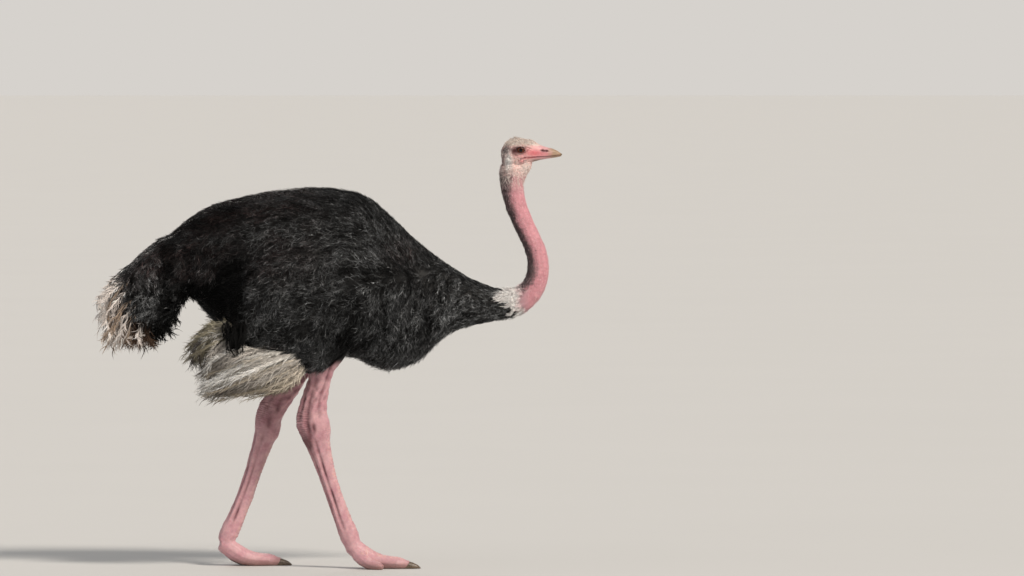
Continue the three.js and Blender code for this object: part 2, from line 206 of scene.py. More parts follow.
NECK = Route(
    [(560, 942), (625, 946), (676, 953), (715, 978), (741, 1010), (755, 1049), (758, 1089), (753, 1130),
     (735, 1177), (715, 1218), (680, 1299), (664, 1370), (664, 1410), (668, 1448), (676, 1490)]
)
LEGS = {
    "right": Route(
        [(93, 80), (81, 112), (60, 165), (31, 242), (4, 322), (-17, 392), (-29, 435), (-40, 474), (-49, 519),
         (-52, 556), (-44, 612), (-28, 676), (-22, 722), (-6, 780), (14, 850)],
        [-78, -79, -81, -84, -87, -90, -92, -94, -97, -100, -105, -111, -116, -122, -126],
    ),
    "left": Route(
        [(-374, 84), (-360, 118), (-335, 170), (-302, 250), (-275, 330), (-254, 394), (-239, 436),
         (-226, 476), (-213, 521), (-199, 566), (-180, 608), (-150, 656), (-118, 708), (-82, 770),
         (-38, 850)],
        [77, 78, 80, 83, 86, 89, 91, 93, 96, 99, 103, 108, 114, 121, 126],
    ),
}
ANKLE = 0.52  # height of the ankle's middle
STRIDE = -467.0  # from the right foot to the left, in millimetres
TOE_ENDS = {"right": 296 * MM, "left": -171 * MM}  # X of the end of each big toe, without its claw
HEELS = {  # sharp corners of the feet, which are rounded off: X, Y and Z in millimetres
    "right": [(62, -90, 58)],
    "left": [(-396, 90, 116), (-394, 90, 66)],
}


# ------------------------------------------------------------------ meshes
def alone(piece: Piece) -> None:
    """Selects a piece and nothing else, and makes it active."""
    bpy.ops.object.select_all(action="DESELECT")
    piece.select_set(True)
    bpy.context.view_layer.objects.active = piece


def linked(name: str, data: bpy.types.ID) -> Piece:
    """A new object of a mesh, a camera or a light, in the scene."""
    piece = bpy.data.objects.new(name, data)
    bpy.context.scene.collection.objects.link(piece)
    return piece


def rows_of(items: bpy.types.bpy_prop_collection, name: str, width: int, kind: type = float) -> Array:
    """One property of all the vertices, edges or triangles of a mesh, a row for each."""
    out = np.empty(len(items) * width, kind)
    items.foreach_get(name, out)
    return out.reshape(-1, width)


def points_of(piece: Piece) -> Array:
    """The places of a piece's vertices."""
    return rows_of(piece.data.vertices, "co", 3)


def normals_of(piece: Piece) -> Array:
    """The outward direction at each of a piece's vertices."""
    return rows_of(piece.data.vertices, "normal", 3)


def swell(piece: Piece, lift: Array) -> None:
    """Moves a piece's vertices outwards, each by a length in millimetres."""
    place(piece, points_of(piece) + normals_of(piece) * (lift * MM)[:, None])


def place(piece: Piece, points: Array) -> None:
    """Puts a piece's vertices at new places."""
    piece.data.vertices.foreach_set("co", points.astype(np.float32).ravel())
    piece.data.update()


def paint(piece: Piece, name: str, values: Array) -> None:
    """Stores a number or a colour for each vertex of a piece.

    Args:
        piece: what it is stored on.
        name: the attribute that materials read.
        values: one row for each vertex, of one number or of red, green and blue.
    """
    if values.ndim == 1:
        attribute = piece.data.attributes.new(name, "FLOAT", "POINT")
        attribute.data.foreach_set("value", values.astype(np.float32))
        return
    attribute = piece.data.color_attributes.new(name, "FLOAT_COLOR", "POINT")
    rgba = np.column_stack([values, np.ones(len(values))])
    attribute.data.foreach_set("color", rgba.astype(np.float32).ravel())


def apply(piece: Piece, kind: str, **settings: object) -> None:
    """Adds a modifier to a piece and applies it.

    Args:
        piece: what is changed.
        kind: Blender's name for the modifier.
        settings: its settings.
    """
    modifier = piece.modifiers.new(kind.lower(), kind)
    for name, value in settings.items():
        setattr(modifier, name, value)
    alone(piece)
    bpy.ops.object.modifier_apply(modifier=modifier.name)


def copied(name: str, nodes: Sequence[str], grow: float) -> Piece:
    """Copies CAD nodes into one object, each grown a little so that neighbours run into each other.

    Args:
        name: the new object's name.
        nodes: which CAD nodes.
        grow: how far each moves outwards, in metres.
    Returns:
        The object, with one closed shell for each node.
    """
    mesh = bpy.data.meshes.new(name)
    whole = bmesh.new()
    for node in nodes:
        part = bmesh.new()
        part.from_mesh(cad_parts[node].data)
        bmesh.ops.remove_doubles(part, verts=part.verts, dist=0.01 * MM)
        part.normal_update()
        for vertex in part.verts:
            vertex.co += vertex.normal * grow
        part.to_mesh(mesh)
        whole.from_mesh(mesh)
        part.free()
    whole.to_mesh(mesh)
    whole.free()
    return linked(name, mesh)


def relax(piece: Piece, rounds: int, weight: Array | float = 1.0, back: float = -0.53) -> None:
    """Smooths a piece, as a rule without shrinking it.

    Args:
        piece: a mesh whose edges are about equal.
        rounds: how often each point moves towards its neighbours and back out.
        weight: how far each point takes part, 0 to 1.
        back: the step back out, 0 for none.
    """
    points = points_of(piece)
    a, b = rows_of(piece.data.edges, "vertices", 2, np.int64).T
    count = len(points)
    degree = np.maximum(np.bincount(a, minlength=count) + np.bincount(b, minlength=count), 1)
    weight = np.broadcast_to(np.asarray(weight, float), count)
    for _ in range(rounds):
        for step in (0.5, back):
            total = np.empty_like(points)
            for k in range(3):
                total[:, k] = np.bincount(a, points[b, k], count) + np.bincount(b, points[a, k], count)
            points = points + (total / degree[:, None] - points) * (step * weight)[:, None]
    place(piece, points)


def triangles_of(piece: Piece) -> int:
    """How many triangles a piece has."""
    piece.data.calc_loop_triangles()
    return len(piece.data.loop_triangles)


def thin(piece: Piece, triangles: int) -> None:
    """Takes triangles out where a piece is flattest, down to a number of them."""
    apply(piece, "DECIMATE", ratio=min(1.0, triangles / triangles_of(piece)))


class Surface:
    """A mesh that feathers are laid along."""

    def __init__(self, piece: Piece, where: Callable[[Array], Array] | None = None) -> None:
        """Reads the mesh.

        Args:
            piece: the object whose faces are used.
            where: says of the faces' first corners which of the faces to keep.
        """
        mesh = piece.data
        mesh.calc_loop_triangles()
        self.faces = rows_of(mesh.loop_triangles, "vertices", 3, np.int32)
        self.points = points_of(piece)
        if where is not None:
            self.faces = self.faces[where(self.points[self.faces[:, 0]])]
        self.normals = normals_of(piece)
        self.tree = BVHTree.FromPolygons(self.points.tolist(), self.faces.tolist())
        corners = self.points[self.faces]
        cross = np.cross(corners[:, 1] - corners[:, 0], corners[:, 2] - corners[:, 0])
        self.areas = np.linalg.norm(cross, axis=1) / 2.0
        self.centres = corners.mean(1)

    def nearest(self, points: Array) -> tuple[Array, Array]:
        """The nearest place on the surface to each point, with the smooth outward direction there."""
        spots = np.empty_like(points)
        index = np.empty(len(points), np.int64)
        for i, point in enumerate(points):
            spot, _, face, _ = self.tree.find_nearest(point)
            spots[i] = spot
            index[i] = face
        a, b, c = (self.points[self.faces[index, k]] for k in range(3))
        ab, ac, ap = b - a, c - a, spots - a
        d00, d01, d11 = (ab * ab).sum(1), (ab * ac).sum(1), (ac * ac).sum(1)
        d20, d21 = (ap * ab).sum(1), (ap * ac).sum(1)
        whole = np.maximum(d00 * d11 - d01 * d01, 1e-18)
        v = (d11 * d20 - d01 * d21) / whole
        w = (d00 * d21 - d01 * d20) / whole
        na, nb, nc = (self.normals[self.faces[index, k]] for k in range(3))
        outward = unit(na * (1 - v - w)[:, None] + nb * v[:, None] + nc * w[:, None])
        return spots, outward

    def scatter(self, rng: Random, count: int, thick: Callable[[Array], Array]) -> Array:
        """Draws places on the surface.

        Args:
            rng: where the draws come from.
            count: how many.
            thick: how thickly they lie at each point, as a factor on the area.
        Returns:
            The places.
        """
        share = self.areas * thick(self.centres)
        face = rng.choice(len(share), count, p=share / share.sum())
        u, v = rng.random(count), rng.random(count)
        fold = u + v > 1.0
        u[fold], v[fold] = 1.0 - u[fold], 1.0 - v[fold]
        a, b, c = (self.points[self.faces[face, k]] for k in range(3))
        return a + (b - a) * u[:, None] + (c - a) * v[:, None]

    def rooted(self, rng: Random, count: int, thick: Callable[[Array], Array]) -> tuple[Array, Array]:
        """Draws places as scatter does, and gives the outward direction at each too."""
        return self.nearest(self.scatter(rng, count, thick))


# ------------------------------------------------------------------ markings
def under_slant(points: Array) -> Array:
    """How far ahead each place lies, in metres, with the slant of the collar's lower end taken off."""
    return points[:, 0] - 0.8 * np.clip(0.95 - points[:, 2], 0, 0.02)


def collar_line(points: Array) -> Array:
    """How far ahead each place lies, in metres, with the whole slant of the collar taken off."""
    return under_slant(points) + 0.55 * np.maximum(points[:, 2] - 0.95, 0)


GAPE = (712 * MM, 1476.5 * MM)
BILL_TIP = (846 * MM, 1484.5 * MM)


def mouth_height(x: Array) -> Array:
    """The height of the line between the two halves of the bill."""
    share = (x - GAPE[0]) / (BILL_TIP[0] - GAPE[0])
    return GAPE[1] + (BILL_TIP[1] - GAPE[1]) * share - 1.0 * MM * np.sin(np.clip(share, 0, 1) * math.pi)


def leg_relief(name: str, points: Array) -> tuple[Array, Array]:
    """The tendons, knobs, hollows and wrinkles of one leg, and the shade painted into them.

    Args:
        name: which leg.
        points: places on it.
    Returns:
        How far each stands out, in millimetres, and how much painted shade each takes, 0 to 1: most in the
        grooves, hollows and fold valleys, below the heel and towards the leg's back.
    """
    route = LEGS[name]
    along, front, side = route.locate(points)
    angle = np.degrees(np.arctan2(side * SIDES[name], front))
    wide = np.abs(angle)
    ankle = route.at_height(ANKLE)
    drift = Drift(31, 200 * MM)(points) * 5
    shank = ease(ankle + 0.015, ankle + 0.05, along)
    tarsus = ease(0.05, 0.10, along) * ease(ankle - 0.035, ankle - 0.075, along)
    above_floor = ease(0.09, 0.13, points[:, 2])
    deep = hill(angle, 108 + drift, 12) + 0.8 * hill(angle, 52 + drift, 7) + 0.6 * hill(angle, 150, 7)
    broken = 0.75 + 0.30 * Drift(34, 80 * MM)(points)
    deep = shank * broken * (deep + 0.8 * hill(angle, -70 + drift, 10) + 0.7 * hill(angle, -122, 10))
    through = hill(along, ankle - 0.004, 0.042) * hill(angle, 116 + drift, 13)
    split = tarsus * broken * (hill(wide, 97 + drift, 10) + 0.7 * hill(wide, 146 + drift, 8))
    tendon = 0.9 * hill(angle, 80 + drift, 9) + 0.7 * hill(angle, 131, 8)
    rib = tarsus * hill(wide, 121 + drift, 9) + shank * tendon
    hollow = hill(along, ankle - 0.010, 0.018) * hill(angle, 90, 10)
    hollow += 0.6 * hill(along, ankle, 0.03) * hill(angle, -92, 20)
    # painted shadow of the heel's rear bulge on the back of the tarsus
    shade = hill(along, ankle - 0.056, 0.034) * ease(104, 128, angle)
    heel = hill(along, ankle + 0.004, 0.032) * ease(120, 165, wide)
    knob = hill(along, ankle - 0.034, 0.027) * hill(wide, 10, 42)
    waist = hill(along, ankle + 0.055, 0.035) * hill(wide, 10, 40)
    bend = np.sin(along / (7.0 * MM) * TURN + 1.5 * Drift(32, 30 * MM)(points))
    folds = bend * (1.7 * hill(along, ankle + 0.012, 0.045) * ease(90, 140, wide) + 1.0 * knob + 0.25 * shank)
    veins = Drift(33, 24 * MM)(points) * (0.9 * shank + 0.6)
    lift = -6.0 * deep - 5.0 * through - 5.0 * split + 2.6 * rib
    lift = lift - 5.0 * hollow + 3.6 * heel + 4.6 * knob - 2.6 * waist
    # painted shade: darker in the grooves, hollows, fold valleys and low veins, under the heel and towards
    # the leg's back side
    dark = 0.9 * deep + through + 0.8 * split + 1.1 * hollow + 0.85 * shade + 0.2 * ease(120, 170, wide)
    dark += 0.30 * np.maximum(-folds, 0.0) + 0.18 * np.maximum(-veins, 0.0)
    return (lift + 0.9 * folds + veins) * above_floor, np.clip(dark * above_floor, 0.0, 1.0)


@dataclass(frozen=True)
class Mark:
    """A soft-edged patch of one colour on either side of the head. Places are in millimetres."""

    colour: str
    ahead: float
    height: float
    long: float  # half its length
    high: float  # half its height
    strength: float = 0.9
    slope: float = 0.0  # rise for each millimetre ahead

    def cover(self, x: Array, z: Array) -> Array:
        """How much of the colour shows at each place, 0 to 1."""
        along, up = x - self.ahead, z - self.height - self.slope * (x - self.ahead)
        return self.strength * np.exp(-(((along / self.long) ** 2 + (up / self.high) ** 2) ** 1.5))


EAR = Mark("#efe2df", 653, 1462, 12, 30, 1.0)


@dataclass(frozen=True)
class Markings:
    """The bird's colours, worked out from where a point is. Skin and coat both take theirs from here."""

    black: str = "#0c0b0b"
    neck_pink: str = "#cf929a"
    neck_deep: str = "#b97c85"
    neck_mauve: str = "#a98a90"
    nape: str = "#4a3e3f"
    down: str = "#ddd6ce"
    crown: str = "#d3c4bb"
    cheek: str = "#e6c1bb"
    rear: str = "#8d7c7c"
    bill_end: str = "#a58972"
    bill_tip: str = "#6b5b3a"
    bill_under: str = "#64513a"
    leg_pink: str = "#cb9fa4"
    leg_mauve: str = "#bc8791"
    # deep red painted into the legs' grooves and hollows as shade
    leg_painted_shade: str = "#55282f"
    sole: str = "#84655c"
    mouth: str = "#6a2a30"
    marks: tuple[Mark, ...] = (
        Mark("#cf8a8d", 712, 1490, 44, 22, 0.75),  # bare skin round the eye
        Mark("#d97f86", 702, 1463, 10, 8, 0.75),  # below the gape
        Mark("#d6747a", 744, 1493, 26, 11, 0.95),  # coral side of the bill
        Mark("#dc8288", 775, 1489, 30, 7, 0.6),
        Mark("#efb2ae", 752, 1510, 24, 5, 0.6, -0.35),
        # painted shade: dark red along the lore's two sculpted folds
        Mark("#8d2f38", 723, 1512, 11, 2.2, 0.85, -0.42),  # fold of the lore
        Mark("#8a2c34", 720, 1501, 3.5, 2.6, 0.8),
        # painted shade: the nostril hollows, front and rear, darkened to near-black red
        Mark("#430d18", 775, 1501, 10, 5.4, 0.97),  # nostril, front and rear
        Mark("#430d18", 789.5, 1499.5, 8, 4.6, 0.95),
        Mark("#7c2430", 710, 1474.5, 5, 3.5, 0.9),  # gape
        Mark("#b0444f", 738, 1477, 28, 2.4, 0.85, 0.14),
        Mark("#5a2224", 693, 1502, 23, 14, 0.8, -0.1),  # dark lids
        Mark("#47181b", 671, 1500, 14, 13, 1.0),  # dark corner behind the eye
        Mark("#4d2424", 693, 1513, 24, 3.6, 0.9),  # edge of the upper lid
        Mark("#5a2b2b", 682, 1488, 10, 5, 0.7),
        Mark("#c9bcb6", 692, 1489.5, 12, 2.4, 0.45),  # pale lower lid
        Mark("#5f5557", 647, 1507, 16, 17, 0.9),  # temple
        Mark("#46393a", 640, 1504, 8, 13, 0.7),
        EAR,
        Mark("#54474a", 629, 1452, 8, 34, 0.85),  # behind the ear
        Mark("#3f2c2f", 657, 1444, 4, 8, 0.8, 1.0),
        Mark("#463639", 646, 1428, 6, 5.5, 0.8),
        Mark("#5d4b4e", 640, 1408, 7, 9, 0.6),
        Mark("#e0d3cc", 716, 1440, 20, 20, 0.6),  # pale throat
    )

    def skin(self, points: Array) -> Array:
        """The colour of the skin at each point."""
        colour = even(self.black, points).copy()
        colour = mix(colour, self.legs(points), self.on_legs(points))
        neck = ease(0.654, 0.679, collar_line(points)) * (points[:, 2] > 0.85)
        neck = np.maximum(neck, (points[:, 0] > 0.5) & (points[:, 2] > 1.10))
        colour = mix(colour, self.neck(points), neck)
        head = ease(1.400, 1.440, points[:, 2]) * (points[:, 0] > 0.5)
        return mix(colour, self.head(points), head)

    def on_legs(self, points: Array) -> Array:
        """1 on the bare legs and 0 on the rest."""
        return ease(0.755, 0.725, points[:, 2]) * (points[:, 0] < 0.35) * (points[:, 0] > -0.45)

    def legs(self, points: Array) -> Array:
        """The colour of the legs and feet: pink on the ridges, with painted shade of deep red in the hollows
        between them.
        """
        mottle = Drift(11, 60 * MM)(points) * 0.6 + Drift(12, 14 * MM)(points) * 0.4
        colour = mix(even(self.leg_pink, points), self.leg_mauve, np.clip(0.28 + 0.42 * mottle, 0, 1))
        for name, sign in SIDES.items():
            here = points[:, 1] * sign > 0
            # painted shade, as deep as the leg's relief says
            colour[here] = mix(colour[here], self.leg_painted_shade, 0.85 * leg_relief(name, points[here])[1])
        return mix(colour, self.sole, ease(0.04, 0.0, points[:, 2]) * 0.8)

    def neck(self, points: Array) -> Array:
        """The colour of the neck: pink in front, dark along the nape, and pale where the collar starts."""
        _, angle = NECK.around(points)
        mottle = Drift(13, 34 * MM)(points) * 0.5 + Drift(14, 9 * MM)(points) * 0.5
        colour = mix(even(self.neck_pink, points), self.neck_deep, np.clip(0.30 + 0.40 * mottle, 0, 1))
        colour = mix(colour, self.neck_mauve, 0.75 * ease(0.735, 0.700, points[:, 0]) * (points[:, 2] < 1.0))
        colour = mix(colour, self.nape, self.nape_stripe(points, angle, mottle))
        return mix(colour, self.down, 0.75 * ease(0.700, 0.672, collar_line(points)) * (points[:, 2] < 1.0))

    def nape_stripe(self, points: Array, angle: Array, mottle: Array) -> Array:
        """How dark the nape is, 0 to 1: widest in the bend and close under the head."""
        z = points[:, 2]
        edge = 2.15 + 0.16 * mottle - 0.45 * hill(z, 1.40, 0.07) - 0.25 * hill(z, 1.06, 0.10)
        return ease(edge - 0.30, edge + 0.35, angle) * 0.8 * ease(0.93, 1.0, z)

    def head(self, points: Array) -> Array:
        """The colour of the head and bill."""
        x, z = points[:, 0] / MM, points[:, 2] / MM
        side = np.abs(points[:, 1]) / MM
        mottle = Drift(15, 13 * MM)(points) + 0.6 * Drift(16, 5 * MM)(points)
        colour = even(self.cheek, points)
        colour = mix(colour, self.rear, ease(650, 630, x + 3 * mottle) * 0.8)
        crown_line = np.where(x > 715, 1522 - (x - 715) * 0.10, 1521.0) + 2.5 * mottle
        crown = ease(crown_line - 4, crown_line + 5, z) * ease(782, 740, x + 4 * mottle)
        colour = mix(colour, self.neck_pink, ease(725, 755, x) * (1 - crown) * 0.7)
        colour = mix(colour, self.crown, crown)
        flank = ease(5, 11, side + 0.1 * (x - 700))
        for mark in self.marks:
            colour = mix(colour, mark.colour, mark.cover(x + 0.8 * mottle, z + 0.8 * mottle) * flank)
        colour = mix(colour, self.bill_end, ease(786, 812, x + 3 * mottle))
        colour = mix(colour, self.bill_tip, ease(834, 843, x - 0.4 * np.abs(z - 1488)))
        line = mouth_height(points[:, 0]) / MM
        under = ease(line - 3.5, line - 7.5, z) * ease(728, 752, x)
        colour = mix(colour, self.cheek, under * 0.35 * ease(812, 790, x))
        rim = ease(line - 7.0, line - 11.5, z) * ease(728, 752, x)
        colour = mix(colour, self.bill_under, rim * 0.85)
        return mix(colour, self.mouth, hill(z, line, 1.1) * ease(712, 722, x) * ease(846, 830, x) * 0.7)


# ------------------------------------------------------------------ materials
MULTIPLY = {"data_type": "RGBA", "blend_type": "MULTIPLY"}  # settings of a Mix node that darkens a colour


def add_node(
    tree: Tree, kind: str, inputs: dict[str | int, object] | None = None, **settings: object
) -> bpy.types.Node:
    """Adds a node with its settings and links.

    Args:
        tree: the node tree it goes into.
        kind: the node's type, without the ShaderNode that all of them start with.
        inputs: a value, or a socket to link, for each input by name or number.
        settings: the node's own settings.
    Returns:
        The node.
    """
    node = tree.nodes.new(f"ShaderNode{kind}")
    for name, value in settings.items():
        setattr(node, name, value)
    for key, value in (inputs or {}).items():
        if isinstance(value, Socket):
            tree.links.new(value, node.inputs[key])
        else:
            node.inputs[key].default_value = value
    return node


def rgba(colour: str) -> tuple[float, float, float, float]:
    """An sRGB hex colour as a linear colour socket's value."""
    return (*linear(colour), 1.0)


def new_material(name: str) -> tuple[Material, Tree, Socket]:
    """A material with no shader yet, its nodes, and the socket that says where a point of the object is."""
    material = bpy.data.materials.new(name)
    material.use_nodes = True
    tree = material.node_tree
    tree.nodes.clear()
    return material, tree, add_node(tree, "TexCoord").outputs["Object"]


def shaded(material: Material, inputs: dict[str, object]) -> Material:
    """Ends a material in a Principled shader, with a value or a socket for each input named."""
    shader = add_node(material.node_tree, "BsdfPrincipled", inputs)
    add_node(material.node_tree, "OutputMaterial", {"Surface": shader.outputs[0]})
    return material


def flecked(
    tree: Tree, colour: object, cloud: Socket, shades: tuple[float, float],
    span: tuple[float, float] = (0.3, 0.7),
) -> Socket:
    """Makes a colour darker and paler by a cloudy pattern.

    Args:
        tree: the node tree.
        colour: the colour, or its socket.
        cloud: the pattern.
        shades: factors on the colour at the two ends of the span.
        span: the pattern's values between which the factor changes.
    Returns:
        The new colour.
    """
    ends = {"From Min": span[0], "From Max": span[1], "To Min": shades[0], "To Max": shades[1]}
    factor = add_node(tree, "MapRange", {"Value": cloud, **ends}).outputs[0]
    return add_node(tree, "Mix", {0: 1.0, 6: colour, 7: factor}, **MULTIPLY).outputs[2]


@dataclass(frozen=True)
class SkinFinish:
    """Bare bird skin: matt, finely pebbled, a little translucent, and pink from the blood in it."""

    name: str = "bare_bird_skin"
    pebble: float = 2.6 * MM  # between the tiny raised scales
    crease: float = 9.0 * MM  # between the soft folds
    depth: float = 0.6 * MM
    ior: float = 1.42

    def material(self) -> Material:
        """Makes the material, which takes its colour and its roughness from the mesh."""
        material, tree, at = new_material(self.name)
        colour = add_node(tree, "Attribute", attribute_name=MARKING).outputs["Color"]
        pebbles = add_node(tree, "TexVoronoi", {"Vector": at, "Scale": 1.0 / self.pebble})
        noise = add_node(tree, "TexNoise", {"Vector": at, "Scale": 1.0 / self.crease, "Detail": 4.0})
        folds = noise.outputs["Fac"]
        height = add_node(tree, "Math", {0: pebbles.outputs["Distance"], 1: folds}, operation="ADD")
        bump = add_node(tree, "Bump", {"Height": height.outputs[0], "Distance": self.depth, "Strength": 0.8})
        return shaded(material, {
            "Base Color": flecked(tree, colour, folds, (0.90, 1.07)),
            "Roughness": add_node(tree, "Attribute", attribute_name=GLOSS).outputs["Fac"],
            "Normal": bump.outputs[0],
            "IOR": self.ior,
            "Subsurface Weight": 0.12,
            "Subsurface Radius": (3.0 * MM, 1.2 * MM, 0.8 * MM),
            "Subsurface Scale": 1.0,
        })


@dataclass(frozen=True)
class FeatherFinish:
    """Loose feather barbs of keratin: soft and fibrous, with a faint sheen where light grazes them."""

    name: str
    roughness: float = 0.55
    sheen: float = 0.15
    gloss: float = 0.4  # strength of the shine
    grain: float = 4.0 * MM
    full: float = 0.15  # brightness of the colour from which shine and sheen are at their strongest

    def material(self) -> Material:
        """Makes the material, which takes its colour from the mesh and breaks it up along the barbs."""
        material, tree, at = new_material(self.name)
        colour = add_node(tree, "Attribute", attribute_name=MARKING).outputs["Color"]
        grain = add_node(tree, "TexNoise", {"Vector": at, "Scale": 1.0 / self.grain, "Detail": 2.0})
        tinted = flecked(tree, colour, grain.outputs["Fac"], (0.7, 1.25))
        ends = ({"To Min": 0.15 * most, "To Max": most} for most in (self.gloss, self.sheen))
        shine, sheen = (
            add_node(tree, "MapRange", {"Value": tinted, "From Max": self.full, **end}) for end in ends
        )
        return shaded(material, {
            "Base Color": tinted,
            "Specular IOR Level": shine.outputs[0],
            "Sheen Weight": sheen.outputs[0],
            "Roughness": self.roughness,
            "IOR": 1.54,
            "Sheen Roughness": 0.4,
        })


@dataclass(frozen=True)
class EyeFinish:
    """A living eye: a black pupil in a dark brown iris under a wet clear cornea, with a dull rim of white."""

    centre: tuple[float, float, float]
    pupil: float
    iris: float
    black: str = "#050303"
    brown: str = "#5e2c1e"
    rings: tuple[tuple[float, str], ...] = (
        (0.62, "#6e3a28"), (0.70, "#2a120c"), (0.78, "#6b4a42"), (1.0, "#7d5a52"),
    )  # shares of the way to the edge of the white, and the colour there

    def material(self) -> Material:
        """Makes the material, coloured by how far a point lies from the eye's axis."""
        material, tree, at = new_material("wet_eye")
        edge = self.iris * 1.4
        shifted = add_node(tree, "Mapping", {"Vector": at, "Location": tuple(-c for c in self.centre)})
        apart = add_node(tree, "SeparateXYZ", {0: shifted.outputs[0]})
        flat = add_node(tree, "CombineXYZ", {"X": apart.outputs["X"], "Z": apart.outputs["Z"]}).outputs[0]
        radius = add_node(tree, "VectorMath", {0: flat}, operation="LENGTH").outputs["Value"]
        spokes = add_node(tree, "TexNoise", {"Vector": flat, "Scale": 900.0, "Detail": 3.0}).outputs["Fac"]
        share = add_node(tree, "MapRange", {"Value": radius, "From Max": edge})
        ring = add_node(tree, "ValToRGB", {0: share.outputs[0]})
        stops = ring.color_ramp.elements
        stops[0].position = self.pupil / edge
        stops[0].color = rgba(self.black)
        stops[1].position = stops[0].position + 0.05
        stops[1].color = rgba(self.brown)
        for position, colour in self.rings:
            stops.new(position).color = rgba(colour)
        tinted = add_node(tree, "Mix", {0: 0.35, 6: ring.outputs["Color"], 7: spokes}, **MULTIPLY)
        return shaded(material, {
            "Base Color": tinted.outputs[2],
            "Roughness": 0.08,
            "IOR": 1.376,
            "Specular IOR Level": 0.2,
            "Coat Weight": 0.6,
            "Coat Roughness": 0.02,
            "Coat IOR": 1.38,
        })


@dataclass(frozen=True)
class HornFinish:
    """Worn claw horn: layered keratin, paler where it has rubbed."""

    name: str = "claw_horn"
    dark: str = "#2b231c"
    pale: str = "#75624f"
    roughness: float = 0.42
    streak: float = 7.0 * MM

    def material(self) -> Material:
        """Makes the material, streaked unevenly."""
        material, tree, at = new_material(self.name)
        pattern = {"Vector": at, "Scale": 1.0 / self.streak, "Detail": 5.0, "Roughness": 0.65}
        streaks = add_node(tree, "TexNoise", pattern).outputs["Fac"]
        ramp = add_node(tree, "ValToRGB", {0: streaks})
        for stop, position, colour in zip(ramp.color_ramp.elements, (0.32, 0.68), (self.dark, self.pale)):
            stop.position = position
            stop.color = rgba(colour)
        bump = add_node(tree, "Bump", {"Height": streaks, "Distance": 0.4 * MM, "Strength": 0.7})
        return shaded(material, {
            "Base Color": ramp.outputs["Color"],
            "Normal": bump.outputs[0],
            "Roughness": self.roughness,
            "IOR": 1.54,
        })


@dataclass(frozen=True)
class FloorFinish:
    """A smooth matt studio floor."""

    colour: str = "#c6c5c3"

    def material(self) -> Material:
        """Makes the material, with a faint unevenness."""
        material, tree, at = new_material("matt_floor")
        cloud = add_node(tree, "TexNoise", {"Vector": at, "Scale": 0.6, "Detail": 2.0}).outputs["Fac"]
        tinted = flecked(tree, rgba(self.colour), cloud, (0.985, 1.015), (0.0, 1.0))
        return shaded(material, {"Base Color": tinted, "Roughness": 0.9})


Finish = SkinFinish | FeatherFinish | EyeFinish | HornFinish


def dressed(piece: Piece, finish: Finish, replaced: Sequence[str] = ()) -> Piece:
    """Gives a piece its material and its place in the model, and reports it.

    Args:
        piece: the piece.
        finish: what it is made of.
        replaced: the CAD nodes that it stands for.
    Returns:
        The piece.
    """
    piece.data.materials.append(finish.material())
    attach(piece, "root")
    if replaced:
        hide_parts(*replaced)
    log.info("%s: %d triangles", piece.name, triangles_of(piece))
    return piece


# ------------------------------------------------------------------ studio
@dataclass
class Studio:
    """The floor, the lights and a long lens far to the bird's right, a little higher than its head."""

    lens: float = 300.0  # millimetres, on a sensor 36 wide
    frame_width: float = 3.6864  # metres of the bird's middle plane that the picture is wide
    middle: tuple[float, float] = (0.6642, 1.0062)  # X and Z at the middle of the picture
    eye_height: float = 1.83
    floor_radius: float = 400.0
    key: float = 3.1
    fill: float = 0.35
    rim: float = 0.6
    glow: float = 0.42
    sky: str = "#ecebea"  # what lights the bird from all round
    backdrop: str = "#d6d2cd"  # what shows past the floor's edge, as bright as the lit floor

    def build(self) -> None:
        """Makes all of it."""
        self.camera()
        self.floor()
        self.lights()

    def camera(self) -> None:
        """Sets the camera up, level across and tilted down a little."""
        data = bpy.data.cameras.new("long_lens")
        data.lens = self.lens
        data.sensor_width = 36.0
        data.clip_end = 1000.0
        camera = linked("long_lens", data)
        distance = self.frame_width * self.lens / data.sensor_width
        camera.location = (self.middle[0], -distance, self.eye_height)
        aim = Vector((self.middle[0], 0.0, self.middle[1])) - camera.location
        camera.rotation_euler = aim.to_track_quat("-Z", "Y").to_euler()
        bpy.context.scene.camera = camera

    def floor(self) -> None:
        """Lays a floor so wide that its edge meets the pale surroundings."""
        bpy.ops.mesh.primitive_circle_add(vertices=96, radius=self.floor_radius, fill_type="NGON")
        floor = bpy.context.active_object
        floor.name = "floor"
        floor.data.materials.append(FloorFinish().material())

    def lights(self) -> None:
        """Sets a soft key high ahead on the bird's right, two weak lights behind, and pale surroundings."""
        bpy.context.scene.view_settings.view_transform = "Standard"
        self.lamp("key", (0.60, -0.62, 0.78), self.key, math.radians(14), "#fff6ea")
        self.lamp("fill", (-0.75, -0.60, 0.25), self.fill, math.radians(60), "#f4f0ee")
        self.lamp("rim", (-0.30, 0.85, 0.60), self.rim, math.radians(40), "#ffffff")
        world = bpy.data.worlds.new("surroundings")
        world.use_nodes = True
        tree = world.node_tree
        tree.nodes.clear()
        glow = add_node(tree, "Background", {"Color": rgba(self.sky), "Strength": self.glow})
        sight = add_node(tree, "Background", {"Color": rgba(self.backdrop), "Strength": 1.0})
        seen = add_node(tree, "LightPath").outputs["Is Camera Ray"]
        both = add_node(tree, "MixShader", {0: seen, 1: glow.outputs[0], 2: sight.outputs[0]})
        add_node(tree, "OutputWorld", {"Surface": both.outputs[0]})
        bpy.context.scene.world = world

    def lamp(
        self, name: str, towards: tuple[float, float, float], power: float, spread: float, colour: str
    ) -> None:
        """Hangs one far soft light.

        Args:
            name: what it is called.
            towards: the direction in which it hangs.
            power: watts for each square metre.
            spread: the angle it covers, which is how soft its shadows are.
            colour: sRGB hex.
        """
        data = bpy.data.lights.new(name, "SUN")
        data.energy = power
        data.angle = spread
        data.color = tuple(linear(colour))
        linked(name, data).rotation_euler = Vector(towards).to_track_quat("Z", "Y").to_euler()


